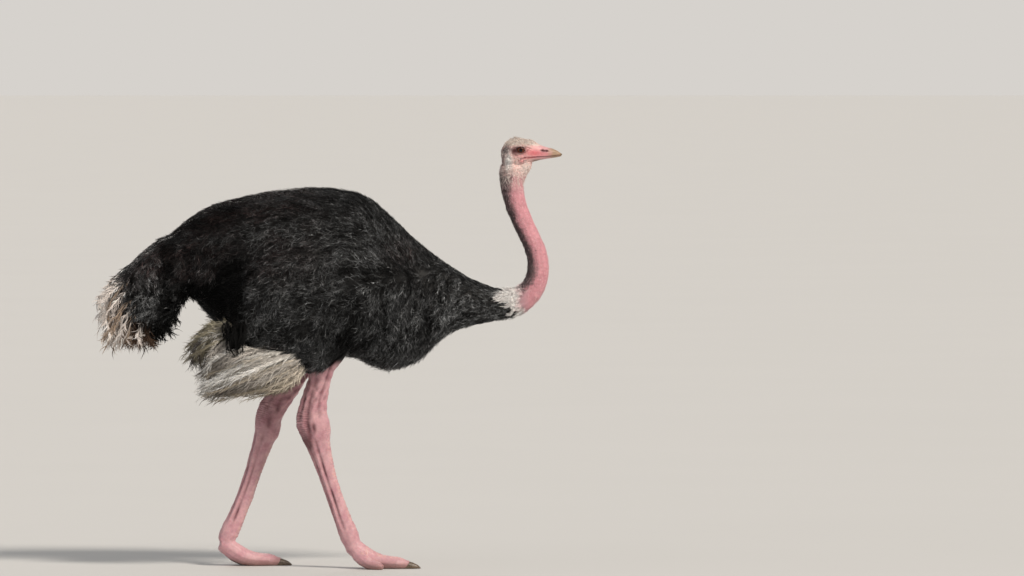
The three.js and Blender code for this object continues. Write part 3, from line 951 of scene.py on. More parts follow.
# ------------------------------------------------------------------ skin
@dataclass
class Eyes:
    """The two eyeballs, each set in the head so that only the part between the lids shows."""

    ahead: float = 696 * MM
    out: float = 23.5 * MM
    height: float = 1502.5 * MM
    radius: float = 20 * MM
    pupil: float = 5.8 * MM
    iris: float = 13.5 * MM
    cornea: float = 1.4 * MM
    opening: tuple[float, float] = (15.0 * MM, 9.8 * MM)  # half the gap between the lids, along and up
    tilt: float = math.radians(-6.0)

    def centre(self, sign: float) -> Array:
        """The middle of the eyeball on one side."""
        return np.array([self.ahead, sign * self.out, self.height])

    def build(self) -> list[Piece]:
        """Makes both eyeballs."""
        made = []
        for name, sign in SIDES.items():
            centre = self.centre(sign)
            bpy.ops.object.select_all(action="DESELECT")
            bpy.ops.mesh.primitive_uv_sphere_add(
                segments=64, ring_count=40, radius=self.radius, location=tuple(centre),
                rotation=(math.pi / 2, 0, 0),
            )
            ball = bpy.context.active_object
            ball.name = f"eyeball_{name}"
            bpy.ops.object.transform_apply(location=True, rotation=True, scale=True)
            points = points_of(ball)
            step = points - centre
            off_axis = np.linalg.norm(step[:, ::2], axis=1)
            bulge = self.cornea * ease(self.iris, 0.3 * self.iris, off_axis) * (sign * step[:, 1] > 0)
            place(ball, points + unit(step) * bulge[:, None])
            bpy.ops.object.shade_smooth()
            finish = EyeFinish(tuple(centre), self.pupil, self.iris)
            made.append(dressed(ball, finish, [f"eye_{name}"]))
        return made

    def almond(self, points: Array, sign: float) -> tuple[Array, Array, Array]:
        """Measures points against the gap between the lids.

        Args:
            points: places near the eye.
            sign: which side's eye.
        Returns:
            How far along and up from the eye's middle each is, and its distance as a share of the gap's edge.
        """
        step = points - self.centre(sign)
        along = step[:, 0] * math.cos(self.tilt) + step[:, 2] * math.sin(self.tilt)
        up = step[:, 2] * math.cos(self.tilt) - step[:, 0] * math.sin(self.tilt)
        half_long, half_high = self.opening
        taper = 1.0 - 0.18 * np.clip(np.abs(along) / half_long, 0, 1) ** 2
        return along, up, np.hypot(along / half_long, up / (half_high * taper))


@dataclass
class Skin:
    """The one skin of the bird, from the bill to the toes."""

    eyes: Eyes
    grow: float = 0.6 * MM
    fore_voxel: float = 2.3 * MM
    leg_voxel: float = 3.2 * MM
    body_voxel: float = 13.0 * MM
    flesh_voxel: float = 22.0 * MM
    coat_depth: float = 31 * MM
    fine_from: float = 1.430  # the head above this height is divided once more
    fore_triangles: int = 96_000
    leg_triangles: int = 37_000
    fore_nodes: tuple[str, ...] = (
        "head", "bill_upper", "bill_lower", "eye_right", "eye_left", "neck_upper", "neck_middle",
        "neck_lower", "collar",
    )
    body_nodes: tuple[str, ...] = ("trunk", "neck_base", "collar", "wing_right", "wing_left", "tail")
    flesh_nodes: tuple[str, ...] = (
        "trunk", "neck_base", "collar", "neck_lower", "neck_middle", "neck_upper", "head", "bill_upper",
        "bill_lower", "tail", "wing_right", "wing_left",
    )  # what the skin stands for, with the legs
    leg_nodes: tuple[str, ...] = ("shank", "tarsus", "toe_big", "toe_small", "claw")

    def envelope(self) -> Piece:
        """The smooth outer shape that the body's feathers fill, which isn't shown itself."""
        shape = copied("feathered_shape", self.body_nodes, self.grow)
        apply(shape, "REMESH", mode="VOXEL", voxel_size=self.body_voxel)
        relax(shape, 14)
        points = points_of(shape)
        points[:, 2] += 45 * MM * hill(points[:, 0], -0.503, 0.045) * ease(1.05, 0.94, points[:, 2])
        place(shape, points)
        return shape

    def build(self, envelope: Piece) -> Piece:
        """Makes the skin.

        Args:
            envelope: the outer shape of the feathered body.
        Returns:
            The finished piece.
        """
        skin = self.fore_part()
        for other in (self.body(envelope), self.leg("right"), self.leg("left")):
            apply(skin, "BOOLEAN", operation="UNION", solver="MANIFOLD", object=other)
            bpy.data.objects.remove(other)
        skin.name = "skin"
        self.colour(skin)
        skin.data.materials.clear()
        alone(skin)
        bpy.ops.object.shade_smooth()
        legs = [f"{part}_{name}" for name in SIDES for part in self.leg_nodes[:-1]]
        return dressed(skin, SkinFinish(), [*self.flesh_nodes, *legs])

    def colour(self, skin: Piece) -> None:
        """Stores the markings and the gloss on the skin."""
        points = points_of(skin)
        paint(skin, MARKING, Markings().skin(points))
        bill = ease(725 * MM, 760 * MM, points[:, 0])
        leg = Markings().on_legs(points)
        paint(skin, GLOSS, 0.64 - 0.26 * bill - 0.22 * leg)

    # ---- head and neck
    def fore_part(self) -> Piece:
        """The head, bill and neck, with lids, nostrils and folds."""
        fore = copied("fore_part", self.fore_nodes, self.grow)
        apply(fore, "REMESH", mode="VOXEL", voxel_size=self.fore_voxel)
        points = points_of(fore)
        relax(fore, 60, ease(810 * MM, 780 * MM, points[:, 0]) * 0.9 + 0.1)
        self.divide(fore, lambda p: (p[:, 2] > self.fine_from) & (p[:, 0] > 0.55))
        points = points_of(fore)
        relax(fore, 12, (points[:, 2] > self.fine_from - 0.02) & (points[:, 0] < 0.81))
        self.shape_bill(fore)
        self.shape_face(fore)
        for sign in SIDES.values():
            self.shape_lids(fore, sign)
        self.shape_neck(fore)
        thin(fore, self.fore_triangles)
        return fore

    def divide(self, piece: Piece, where: Callable[[Array], Array]) -> None:
        """Splits the faces of part of a piece once, so that it can take finer shapes."""
        mesh = bmesh.new()
        mesh.from_mesh(piece.data)
        chosen = where(np.array([vertex.co for vertex in mesh.verts]))
        edges = [edge for edge in mesh.edges if chosen[edge.verts[0].index] and chosen[edge.verts[1].index]]
        bmesh.ops.subdivide_edges(mesh, edges=edges, cuts=1, use_grid_fill=True, smooth=0.0)
        bmesh.ops.triangulate(mesh, faces=[face for face in mesh.faces if len(face.verts) > 4])
        mesh.to_mesh(piece.data)
        mesh.free()

    def shape_bill(self, fore: Piece) -> None:
        """Fills the forehead and the nail, cuts the mouth line and the nostrils, and hooks the tip."""
        points, outward = points_of(fore), normals_of(fore)
        x, side, z = points[:, 0], np.abs(points[:, 1]), points[:, 2]
        top = ease(0.1, 0.7, outward[:, 2])
        full = 4.5 * MM * hill(x, 736 * MM, 20 * MM) + 4.0 * MM * hill(x, 812 * MM, 19 * MM)
        points[:, 2] += full * top * (z > 1.485)
        tip = ease(826 * MM, 846 * MM, x)
        points[:, 2] -= 3.0 * MM * tip * ease(1.484, 1.496, z)
        z = points[:, 2]
        on_bill = ease(704 * MM, 716 * MM, x)
        mouth = hill(z - mouth_height(x), 0.0, 1.4 * MM) * on_bill
        lip = hill(z - mouth_height(x), 3.6 * MM, 1.8 * MM) * on_bill
        flank = ease(6 * MM, 10 * MM, side)
        slit_x = (x - 783 * MM) / (13 * MM)
        slit_z = (z - 1500 * MM + 0.12 * (x - 783 * MM)) / (3.3 * MM)
        nostril = np.exp(-((slit_x**2 + slit_z**2) ** 1.5)) * flank
        rim = np.exp(-((slit_x**2 + (slit_z / 2.3) ** 2) ** 1.5)) * flank
        bridge = hill(x, 783.5 * MM, 2.5 * MM) * nostril
        nail = ease(816 * MM, 828 * MM, x) * ease(1486 * MM, 1491 * MM, z)
        edge = hill(x, 822 * MM + 0.5 * (z - 1.495), 2.5 * MM) * ease(1486 * MM, 1490 * MM, z)
        lift = -2.2 * mouth - 5.2 * nostril + 1.6 * rim + 2.2 * bridge + 1.1 * nail - 0.6 * edge + 0.9 * lip
        place(fore, points + outward * (lift * MM)[:, None])

    def shape_face(self, fore: Piece) -> None:
        """Raises the brow and cheek, and folds the skin at the lore, the gape, the ear and the throat."""
        points = points_of(fore)
        x, side, z = points[:, 0] / MM, np.abs(points[:, 1]) / MM, points[:, 2] / MM
        flank = ease(12, 24, side)
        brow = hill(z - (1521 - 0.0025 * (x - 697) ** 2), 0, 4.5) * hill(x, 697, 24) * flank
        fold_line = 1475.5 - 0.45 * (712 - x)
        fold = hill(z - fold_line, 0, 2.0) * ease(678, 692, x) * ease(718, 710, x) * flank
        jowl = hill(z - fold_line, -7, 4.5) * ease(676, 690, x) * ease(722, 708, x) * flank
        cheek = hill(x, 692, 14) * hill(z, 1480, 8) * flank
        ear = np.exp(-(((x - 655) / 5) ** 2) - ((z - 1474) / 8) ** 2) * flank
        ear_rim = np.exp(-(((x - 655) / 9) ** 2) - ((z - 1474) / 13) ** 2) * flank
        lore_line = 1512 - 0.42 * (x - 723)
        lore = hill(z - lore_line, 0, 2.2) * hill(x, 724, 13) + hill(z - lore_line, -9, 2.0) * hill(x, 724, 9)
        welt = hill(z - lore_line, -4.5, 2.6) * hill(x, 725, 12)
        creases = sum(hill(z - (level + 0.25 * (x - 690)), 0, 1.8) for level in range(1424, 1461, 9))
        creases = creases * ease(664, 680, x) * 0.45
        throat = 0.7 * hill(z, 1409, 27) * ease(690, 710, x)
        lumps = Drift(23, 11 * MM)(points) * ease(1395, 1430, z) * ease(745, 715, x) * 0.5
        lift = 2.6 * brow - 2.2 * fold + 1.4 * jowl + 1.6 * cheek - 4.0 * ear + 1.6 * ear_rim
        lift += (1.2 * welt - 1.7 * lore) * ease(8, 14, side) - 1.0 * creases - 7.0 * throat + lumps
        lift -= 3.0 * ease(1500, 1522, z) * ease(745, 715, x) + 3.5 * ease(660, 636, x) * ease(1420, 1445, z)
        swell(fore, lift)

    def shape_lids(self, fore: Piece, sign: float) -> None:
        """Opens the lids over one eyeball: a rim that lies on it, with the skin drawn in behind the rim."""
        points = points_of(fore)
        eyes = self.eyes
        centre = eyes.centre(sign)
        step = points - centre
        near = (np.linalg.norm(step, axis=1) < 44 * MM) & (sign * step[:, 1] > 3 * MM)
        _, up, share = eyes.almond(points, sign)
        snap = np.where(np.abs(share - 1.0) < 0.09, 1.0 / np.maximum(share, 0.1), 1.0)
        flat = step.copy()
        flat[:, ::2] *= snap[:, None]
        inside = share < 0.99
        ball = np.sqrt(np.maximum(eyes.radius**2 - (flat[:, ::2] ** 2).sum(1), (5 * MM) ** 2))
        hidden = centre[1] + sign * (ball - 3.0 * MM)
        thick = 1.6 * MM + 0.9 * MM * ease(0.0, 6 * MM, up)
        rim = centre[1] + sign * (ball + thick)
        ring = ease(1.9, 1.0, share)
        crease = (hill(share, 1.42, 0.10) * 1.1 + hill(share, 1.75, 0.12) * 0.8) * MM
        y = points[:, 1]
        outer = y + (np.where(sign * rim > sign * y - 5 * MM, rim, y) - y) * ring - sign * crease
        moved = points.copy()
        moved[:, 0] = centre[0] + flat[:, 0]
        moved[:, 2] = centre[2] + flat[:, 2]
        moved[:, 1] = np.where(inside, hidden, outer)
        close = near & (share < 2.1)
        place(fore, np.where(close[:, None], moved, points))

    def shape_neck(self, fore: Piece) -> None:
        """Draws the fine cross folds of the neck, deepest inside the bend, and the windpipe's soft ridge."""
        points = points_of(fore)
        along, angle = NECK.around(points)
        wander = Drift(21, 60 * MM)(points) * 2.2
        rings = np.sin(along / (8.5 * MM) * TURN + wander) * 0.5
        rings += np.sin(along / (5.3 * MM) * TURN + wander * 2.0) * 0.3
        bend = hill(along, NECK.at_height(1.03), 0.09) * ease(1.2, 2.4, angle)
        strength = (0.22 + 0.75 * bend) * ease(1.44, 1.38, points[:, 2]) * (along > 0.10)
        ridge = hill(angle, 0.0, 0.5) * ease(0.14, 0.22, along) * 1.2
        lumps = Drift(22, 35 * MM)(points) * 0.5
        swell(fore, rings * strength + (ridge + lumps) * ease(1.45, 1.40, points[:, 2]))

    # ---- body
    def body(self, envelope: Piece) -> Piece:
        """The flesh of the trunk, wings and tail, inside the feathers."""
        flesh = linked("flesh", envelope.data.copy())
        points, outward = points_of(flesh), normals_of(flesh)
        depth = self.coat_depth * ease(0.52, 0.24, points[:, 0])
        depth *= 1 - 0.62 * ease(0.25, 0.75, outward[:, 2])
        depth += 2.0 * MM * ease(0.62, 0.52, points[:, 0]) + 1.0 * MM
        place(flesh, points - outward * depth[:, None])
        apply(flesh, "REMESH", mode="VOXEL", voxel_size=self.flesh_voxel)
        relax(flesh, 6)
        return flesh

    # ---- legs
    def leg(self, name: str) -> Piece:
        """One leg from the thigh to the toes, with its tendons and folds."""
        nodes = [f"{part}_{name}" for part in self.leg_nodes]
        leg = copied(f"leg_{name}", nodes, self.grow)
        points = points_of(leg)
        toe_end = TOE_ENDS[name]
        points[:, 0] = np.minimum(points[:, 0], toe_end)  # what is left of the claw fills its socket
        place(leg, points)
        apply(leg, "REMESH", mode="VOXEL", voxel_size=self.leg_voxel)
        points = points_of(leg)
        relax(leg, 30, 0.30 + 0.70 * ease(0.03, 0.10, points[:, 2]))
        for heel in HEELS[name]:
            gap = np.linalg.norm(points_of(leg) - np.array(heel) * MM, axis=1)
            relax(leg, 60, ease(48 * MM, 20 * MM, gap), 0.0)
        points = points_of(leg)
        toe = ease(toe_end - 44 * MM, toe_end, points[:, 0]) * (np.abs(points[:, 1]) < 0.14)
        points[:, 1] += (SIDES[name] * 98 * MM - points[:, 1]) * 0.30 * toe
        place(leg, points)
        lift, _ = leg_relief(name, points)
        points = points + normals_of(leg) * (lift * MM)[:, None]
        points[:, 2] = np.maximum(points[:, 2], 0.2 * MM)
        if name == "left":  # its thigh leans ahead to meet the belly
            rise = np.maximum(points[:, 2] - 0.515, 0)
            points[:, 0] += 0.66 * rise**2 / (rise + 0.02) * ease(-0.245, -0.185, points[:, 0])
        place(leg, points)
        thin(leg, self.leg_triangles)
        return leg


# ------------------------------------------------------------------ coat
@dataclass
class Strands:
    """Many thin tapering blades, each a row of stations from root to tip."""

    path: Array  # (strands, stations, 3)
    half: Array  # (strands, stations, 3), half the width as a step across
    colour: Array  # (strands, stations, 3)
    seat: Array  # (strands, 2), the place of its tuft on the bake map, 0 to 1

    def chosen(self, which: Array) -> "Strands":
        """Only some of the blades."""
        return Strands(self.path[which], self.half[which], self.colour[which], self.seat[which])


def woven(name: str, parts: Sequence[Strands]) -> Piece:
    """Makes one mesh of many blades.

    Args:
        name: the piece's name.
        parts: the blades. A blade has two points at each station and one at its tip.
    Returns:
        The piece, with its colours and its bake map.
    """
    points, faces, colours, maps, first = [], [], [], [], 0
    for part in parts:
        count, stations = part.path.shape[:2]
        sides = np.stack([part.path - part.half, part.path + part.half], 2)[:, :-1]
        body = sides.reshape(count, 2 * (stations - 1), 3)
        points.append(np.concatenate([body, part.path[:, -1:]], 1).reshape(-1, 3))
        shade = np.repeat(part.colour[:, :-1], 2, axis=1)
        colours.append(np.concatenate([shade, part.colour[:, -1:]], 1).reshape(-1, 3))
        size = 2 * stations - 1
        pattern = []
        for i in range(0, 2 * (stations - 2), 2):
            pattern += [(i, i + 1, i + 3), (i, i + 3, i + 2)]
        pattern.append((size - 3, size - 2, size - 1))
        start = first + size * np.arange(count)
        faces.append((start[:, None, None] + np.array(pattern)).reshape(-1, 3))
        across = np.append(np.tile([0.0, 1.0], stations - 1), 0.5)
        up = np.append(np.repeat(np.arange(stations - 1) / (stations - 1), 2), 1.0)
        corner = np.column_stack([across, up]) * BAKE_PATCH
        spot = 0.005 + part.seat * (0.985 - BAKE_PATCH)
        maps.append((spot[:, None, :] + corner[None]).reshape(-1, 2))
        first += size * count
    points, faces = np.concatenate(points), np.concatenate(faces)
    mesh = bpy.data.meshes.new(name)
    mesh.vertices.add(len(points))
    mesh.vertices.foreach_set("co", points.astype(np.float32).ravel())
    mesh.loops.add(3 * len(faces))
    mesh.loops.foreach_set("vertex_index", faces.astype(np.int32).ravel())
    mesh.polygons.add(len(faces))
    mesh.polygons.foreach_set("loop_start", np.arange(0, 3 * len(faces), 3, dtype=np.int32))
    mesh.update(calc_edges=True)
    layer = mesh.uv_layers.new(name=BAKE_MAP)
    layer.uv.foreach_set("vector", np.concatenate(maps)[faces.ravel()].astype(np.float32).ravel())
    piece = linked(name, mesh)
    paint(piece, MARKING, np.concatenate(colours))
    mesh.shade_smooth()
    return piece


@dataclass(frozen=True)
class Vane:
    """How the barbs of one kind of feather stand on its shaft. Lengths are in metres."""

    barbs: int  # on both sides together
    reach: float  # length of the longest barb
    width: float  # of a barb, at its widest
    stations: int = 3
    first: float = 0.08  # where along the shaft the barbs start
    root_angle: float = math.radians(48)
    tip_angle: float = math.radians(10)
    sweep: float = 0.25  # bend towards the feather's tip
    curl: float = 0.30  # bend to one side or the other
    lift: float = 0.10  # bend out from the body
    sag: float = 0.0  # fall of the tip
    roll: float = 0.8  # how far blades turn on edge
    shaft: float = 0.8 * MM  # half the width of the shaft
    tint: float = 0.35  # how much barbs differ in brightness
    tip_length: float = 0.7  # barbs at the feather's tip, over the longest
    wave: float = 0.0  # height of a ripple along each barb, over its length


@dataclass
class Feathers:
    """Feathers of one kind, given by their shafts."""

    shaft: Array  # (feathers, stations, 3)
    outward: Array  # (feathers, stations, 3)
    base: Array  # (feathers, 3), colour near the root
    end: Array  # (feathers, 3), colour at the tip
    seat: Array  # (feathers, 2)
    size: Array  # (feathers,), a factor on the barbs
    turn: Array | float = 0.5  # where along the feather its colour changes
    blur: float = 0.25  # over how much of it

    def shade(self, along: Array, feather: Array) -> Array:
        """The colour at a share of the feather's length."""
        turn = np.broadcast_to(self.turn, len(self.base))[feather]
        turn = turn.reshape(turn.shape + (1,) * (along.ndim - 1))
        share = ease(turn - self.blur, turn + self.blur, along)
        base, end = self.base[feather], self.end[feather]
        base, end = (x.reshape(x.shape[:1] + (1,) * (share.ndim - 1) + (3,)) for x in (base, end))
        return base + (end - base) * share[..., None]

    def shafts(self, vane: Vane) -> Strands:
        """The shafts as blades."""
        count, stations = self.shaft.shape[:2]
        tangent = unit(np.gradient(self.shaft, axis=1))
        across = unit(np.cross(tangent, self.outward))
        along = np.linspace(0, 1, stations)
        half = across * (vane.shaft * (1.0 - 0.7 * along))[None, :, None]
        colour = self.shade(np.broadcast_to(along, (count, stations)), np.arange(count)) * 1.15
        return Strands(self.shaft, half, colour, self.seat)

    def barbs(self, vane: Vane, rng: Random) -> Strands:
        """The barbs as blades.

        Args:
            vane: how they stand.
            rng: where their small differences come from.
        Returns:
            The blades of all the feathers together.
        """
        count, stations = self.shaft.shape[:2]
        feather = np.repeat(np.arange(count), vane.barbs)
        total = len(feather)
        order = np.tile(np.arange(vane.barbs), count)
        side = np.where(order % 2 == 0, 1.0, -1.0)
        at = (order // 2 + rng.random(total)) / (vane.barbs / 2)
        at = vane.first + (1.0 - vane.first) * np.clip(at, 0, 0.999)
        where = at * (stations - 1)
        i = np.minimum(where.astype(int), stations - 2)
        f = (where - i)[:, None]
        root = self.shaft[feather, i] * (1 - f) + self.shaft[feather, i + 1] * f
        ahead = unit(self.shaft[feather, i + 1] - self.shaft[feather, i])
        outward = unit(self.outward[feather, i] * (1 - f) + self.outward[feather, i + 1] * f)
        across = unit(np.cross(ahead, outward))
        outward = np.cross(across, ahead)
        angle = vane.root_angle + (vane.tip_angle - vane.root_angle) * at + rng.normal(0, 0.16, total)
        away = ahead * np.cos(angle)[:, None] + across * (side * np.sin(angle))[:, None]
        length = vane.reach * self.size[feather] * rng.uniform(0.65, 1.15, total)
        length *= (1.0 - (1.0 - vane.tip_length) * at) * (0.6 + 0.4 * ease(0.0, 0.35, at))
        bend = ahead * vane.sweep
        bend = bend + across * (side * rng.normal(-0.3, 1.0, total) * vane.curl)[:, None]
        bend = bend + outward * (rng.normal(0.0, 1.0, total) * vane.lift)[:, None]
        bend = bend + DOWN * vane.sag
        u = np.linspace(0, 1, vane.stations)[None, :, None]
        long = length[:, None, None]
        ripple = np.sin(u * 1.7 * math.pi + rng.uniform(0, TURN, (total, 1, 1))) * u * vane.wave
        path = root[:, None] + long * (u * away[:, None] + u * u * bend[:, None] + ripple * across[:, None])
        heading = unit(away[:, None] + 2 * u * bend[:, None])
        face = unit(outward + across * (rng.normal(0, 1, total) * vane.roll)[:, None])
        edge = unit(np.cross(heading, face[:, None]))
        taper = (0.75 + 0.9 * u[0, :, 0]) * (1.0 - u[0, :, 0] ** 2) * 0.8
        half = edge * (0.5 * vane.width * taper)[None, :, None]
        along = np.clip(at[:, None] + u[:, :, 0] * 0.35, 0, 1.2)
        bright = np.exp(rng.normal(0.0, vane.tint, total))[:, None, None]
        colour = np.clip(self.shade(along, feather) * bright, 0.0, 0.95)
        return Strands(path, half, colour, self.seat[feather])


def laid(
    surface: Surface,
    roots: Array,
    heading: Callable[[Array, Array], Array],
    length: Array,
    depth: Array,
    lift: Array,
    stray: Array | float = 0.0,
    steps: int = 3,
) -> tuple[Array, Array]:
    """Lays shafts along a surface.

    Args:
        surface: the outer shape that the tips come up to.
        roots: where each shaft starts, on that shape.
        heading: which way feathers lie at points with given outward directions.
        length: of each shaft, in metres.
        depth: how far under the shape each root is.
        lift: how far above the shape each tip is.
        stray: how far to the side of the heading each lies, as a slope.
        steps: how many straight stretches a shaft has.
    Returns:
        The stations of each shaft, and the outward direction at each.
    """
    spot, outward = surface.nearest(roots)
    spots, outs = [spot], [outward]
    for _ in range(steps):
        way = heading(spot, outward)
        way = unit(way - outward * (way * outward).sum(1)[:, None])
        way = unit(way + np.cross(outward, way) * np.broadcast_to(stray, len(way))[:, None])
        spot, outward = surface.nearest(spot + way * (length / steps)[:, None])
        spots.append(spot)
        outs.append(outward)
    shaft, outward = np.stack(spots, 1), np.stack(outs, 1)
    u = np.linspace(0, 1, steps + 1)[None, :]
    rise = -depth[:, None] * (1 - u) ** 1.5 + lift[:, None] * u**2
    return shaft + outward * rise[..., None], outward


def body_seat(points: Array) -> Array:
    """Places on the bake map for roots on the body: along the bird, and round it."""
    x, y, z = points.T
    return seat_at((x + 0.86) / 1.60, y, z - (1.02 - 0.10 * ease(0.2, 0.6, x)))


@dataclass
class BodyCoat:
    """The loose black feathers of the trunk, the folded wings and the base of the neck."""

    surface: Surface
    seed: int = 101
    feathers: int = 23300
    length: float = 50 * MM
    depth: float = 25 * MM
    vane: Vane = Vane(
        barbs=12, reach=17 * MM, width=1.6 * MM, curl=0.75, lift=0.20, root_angle=math.radians(44), tint=0.62,
    )
    finish: FeatherFinish = FeatherFinish("black_body_feather", roughness=0.40, sheen=0.04, gloss=0.22)
    dark: str = "#060606"
    strand: str = "#6c6e70"
    brown: str = "#4d3c3b"
    hanging: tuple[tuple[float, float, float, int], ...] = (
        (-318, 850, 96, 60), (-338, 872, 70, 40), (-30, 772, 60, 70), (8, 756, 56, 70), (45, 745, 48, 60),
        (150, 752, 44, 50), (-104, 806, 30, 30), (-190, 816, 30, 40),
    )  # X, Z, length and number of the longer feathers that hang from the wing's edge, in millimetres
    tail_top: tuple[tuple[float, float], ...] = (
        (-0.776, 1.043), (-0.725, 0.987), (-0.709, 0.919), (-0.664, 0.875), (-0.585, 0.841), (-0.560, 0.60),
    )  # X and Z of the line below which the tail's own plumes show
    swirl: Drift = Drift(41, 190 * MM)
    ruffle: Drift = Drift(42, 70 * MM)
    curls: Drift = Drift(47, 30 * MM)

    def heading(self, points: Array, outward: Array) -> Array:
        """Which way the feathers lie: back and down, steepest on the breast and rump, in loose swirls."""
        x, _, z = points.T
        side = np.abs(outward[:, 1])
        steep = 0.25 + 0.55 * side * ease(1.30, 1.05, z)
        steep += 1.3 * hill(x, 0.30, 0.12) * ease(1.15, 0.95, z)
        steep += 1.6 * ease(-0.42, -0.66, x)
        steep -= 0.9 * ease(0.42, 0.55, x)
        over = ease(0.02, 0.16, x) * ease(0.42, 0.32, x) * ease(1.02, 1.10, z)
        steep -= (steep + 0.9) * over
        way = unit(backwards(steep))
        calm = 1 - 0.5 * ease(0.15, 0.30, x)
        swirl = self.swirl(points) * 0.5 + self.ruffle(points) * 0.28 * calm
        swirl += self.curls(points) * 0.24 * calm
        swirl *= (ease(0.60, 0.35, x) * 0.8 + 0.2) * (1 - 0.65 * ease(0.2, 0.7, outward[:, 2]))
        return way + np.cross(outward, way) * swirl[:, None]

    def thickness(self, points: Array) -> Array:
        """How thickly feathers grow: fewer on the thighs, none past the collar or over the tail plumes."""
        x, y, z = points.T
        keep = ease(0.676, 0.648, collar_line(points) + 0.010 * self.curls(points))
        pale_tail = np.interp(x, *zip(*self.tail_top))
        keep *= ease(pale_tail + 0.020, pale_tail + 0.055, z) * ease(-0.79, -0.765, x)
        under_wing = ease(0.802, 0.790, z) * ease(-0.30, -0.28, x) * ease(-0.070, -0.085, x)
        keep *= 1 - under_wing * (np.abs(y) > 0.12)
        thigh = (z < 0.74) & (np.abs(y) < 0.19) & (x < 0.12) & (x > -0.20)
        return np.maximum(keep, 0.0) * np.where(thigh, 0.6, 1.0) * (1.0 + 0.7 * ease(0.35, 0.6, x))

    def crease(self, points: Array) -> Array:
        """How deep each place lies in a fold between two masses of feathers, 0 to 1; the feathers sink there
        and their colour is darkened as painted shade.
        """
        x, _, z = points.T
        side = ease(0.06, 0.12, np.abs(points[:, 1]))
        breast = hill((x - 0.098 - 0.12 * (z - 0.86)) / (0.032 + 0.016 * ease(0.90, 0.80, z)), 0, 1)
        breast *= ease(0.97, 0.88, z)
        throat = hill(x - (0.378 + 0.10 * (z - 0.90)), 0, 0.024) * ease(0.98, 0.90, z)
        shoulder = hill(z - 1.062, 0, 0.022) * hill(x, 0.25, 0.05)
        rump = hill(x + 0.562, 0, 0.024) * ease(1.20, 1.12, z)
        return np.clip(breast + throat + shoulder + rump + self.shade(points), 0, 1) * side

    def shade(self, points: Array) -> Array:
        """How deep each place lies in the painted shade behind the rear edge of the folded wing, 0 to 1."""
        x, _, z = points.T
        edge = np.interp(z, (0.80, 0.98, 1.107, 1.168, 1.20), (-0.296, -0.273, -0.257, -0.219, -0.17))
        far = edge - 0.09 - 0.16 * ease(1.08, 1.00, z)
        return ease(edge + 0.012, edge - 0.014, x) * ease(far - 0.05, far + 0.02, x) * ease(1.19, 1.11, z)

    def paleness(self, points: Array, face: Array) -> Array:
        """How pale the strands are by place: most on the wing, least on rump and back, with painted
        highlights on the shoulder and on the strands over the thigh.
        """
        x, _, z = points.T
        wing = ease(-0.30, -0.22, x) * (1 - 0.45 * ease(0.93, 0.84, z) * ease(0.10, 0.04, x))
        # painted highlight on the shoulder
        shoulder = hill(x, 0.20, 0.13) * hill(z, 1.12, 0.10)
        tail = ease(-0.57, -0.61, x)
        # painted highlight on the strands that hang over the thigh
        thigh = hill(x, 0.0, 0.03) * hill(z, 0.745, 0.035)
        fore = 0.22 * ease(0.12, 0.20, x) * ease(1.02, 0.92, z) + 0.40 * ease(0.36, 0.48, x)
        whole = 0.32 + 0.36 * wing + 0.42 * shoulder + 0.95 * tail + thigh + fore
        return whole - (0.36 + 0.20 * ease(-0.3, -0.5, x)) * ease(0.3, 0.8, face[:, 2])

    def roots(self, rng: Random) -> tuple[Array, Array]:
        """Draws the roots, and how much longer than the rest each feather is."""
        scattered = self.surface.scatter(rng, self.feathers, self.thickness)
        more, long = [scattered], [np.ones(len(scattered))]
        for x, z, length, count in self.hanging:
            for sign in SIDES.values():
                spot = np.column_stack([
                    rng.normal(x, 16, count), np.full(count, sign * 300.0), rng.normal(z, 14, count)
                ]) * MM
                more.append(spot)
                long.append(np.full(count, length * MM / self.length) * rng.uniform(0.8, 1.25, count))
        return np.concatenate(more), np.concatenate(long)

    def build(self) -> list[Piece]:
        """Makes the coat in pieces by place."""
        rng = np.random.default_rng(self.seed)
        roots, long = self.roots(rng)
        roots, face = self.surface.nearest(roots)
        count = len(roots)
        small = ease(0.30, 0.60, roots[:, 0])
        sleek = ease(0.15, 0.6, face[:, 2])
        fold = self.crease(roots)
        length = self.length * rng.uniform(0.70, 1.2, count) * (1 - 0.45 * small) * long
        depth = self.depth * (1 - 0.75 * small) * rng.uniform(0.6, 1.2, count) * (1 - 0.45 * sleek)
        lumps = Drift(43, 95 * MM)(roots) * 4 * MM + self.curls(roots) * 3.0 * MM
        lift = (rng.normal(0.0, 3.0 * MM, count) + lumps - 3 * MM) * (1 - 0.6 * small) * (1 - 0.65 * sleek)
        lift = np.minimum(lift - 11 * MM * fold, 7 * MM)
        stray = rng.normal(0, 0.30, count) * (1 - 0.5 * small)
        shaft, outward = laid(self.surface, roots, self.heading, length, depth, lift, stray)
        clump = 0.13 * self.curls(roots) + 0.10 * Drift(45, 60 * MM)(roots)
        pale = np.clip(rng.beta(1.1, 3.4, count) * 1.3 + clump, 0, 1)
        # the strands in folds and behind the wing are darkened: painted shade
        pale = pale * self.paleness(roots, face) * (1 - 0.93 * fold)
        base = even(self.dark, roots)
        end = mix(base, self.strand, np.clip(pale, 0, 1.1))
        brown = (0.55 + 0.35 * Drift(46, 90 * MM)(roots)) * ease(0.10, -0.12, roots[:, 0])
        brown *= ease(1.00, 1.10, roots[:, 2])
        brown += 0.9 * hill(roots[:, 0], 0.29, 0.05) * hill(roots[:, 2], 1.11, 0.045)
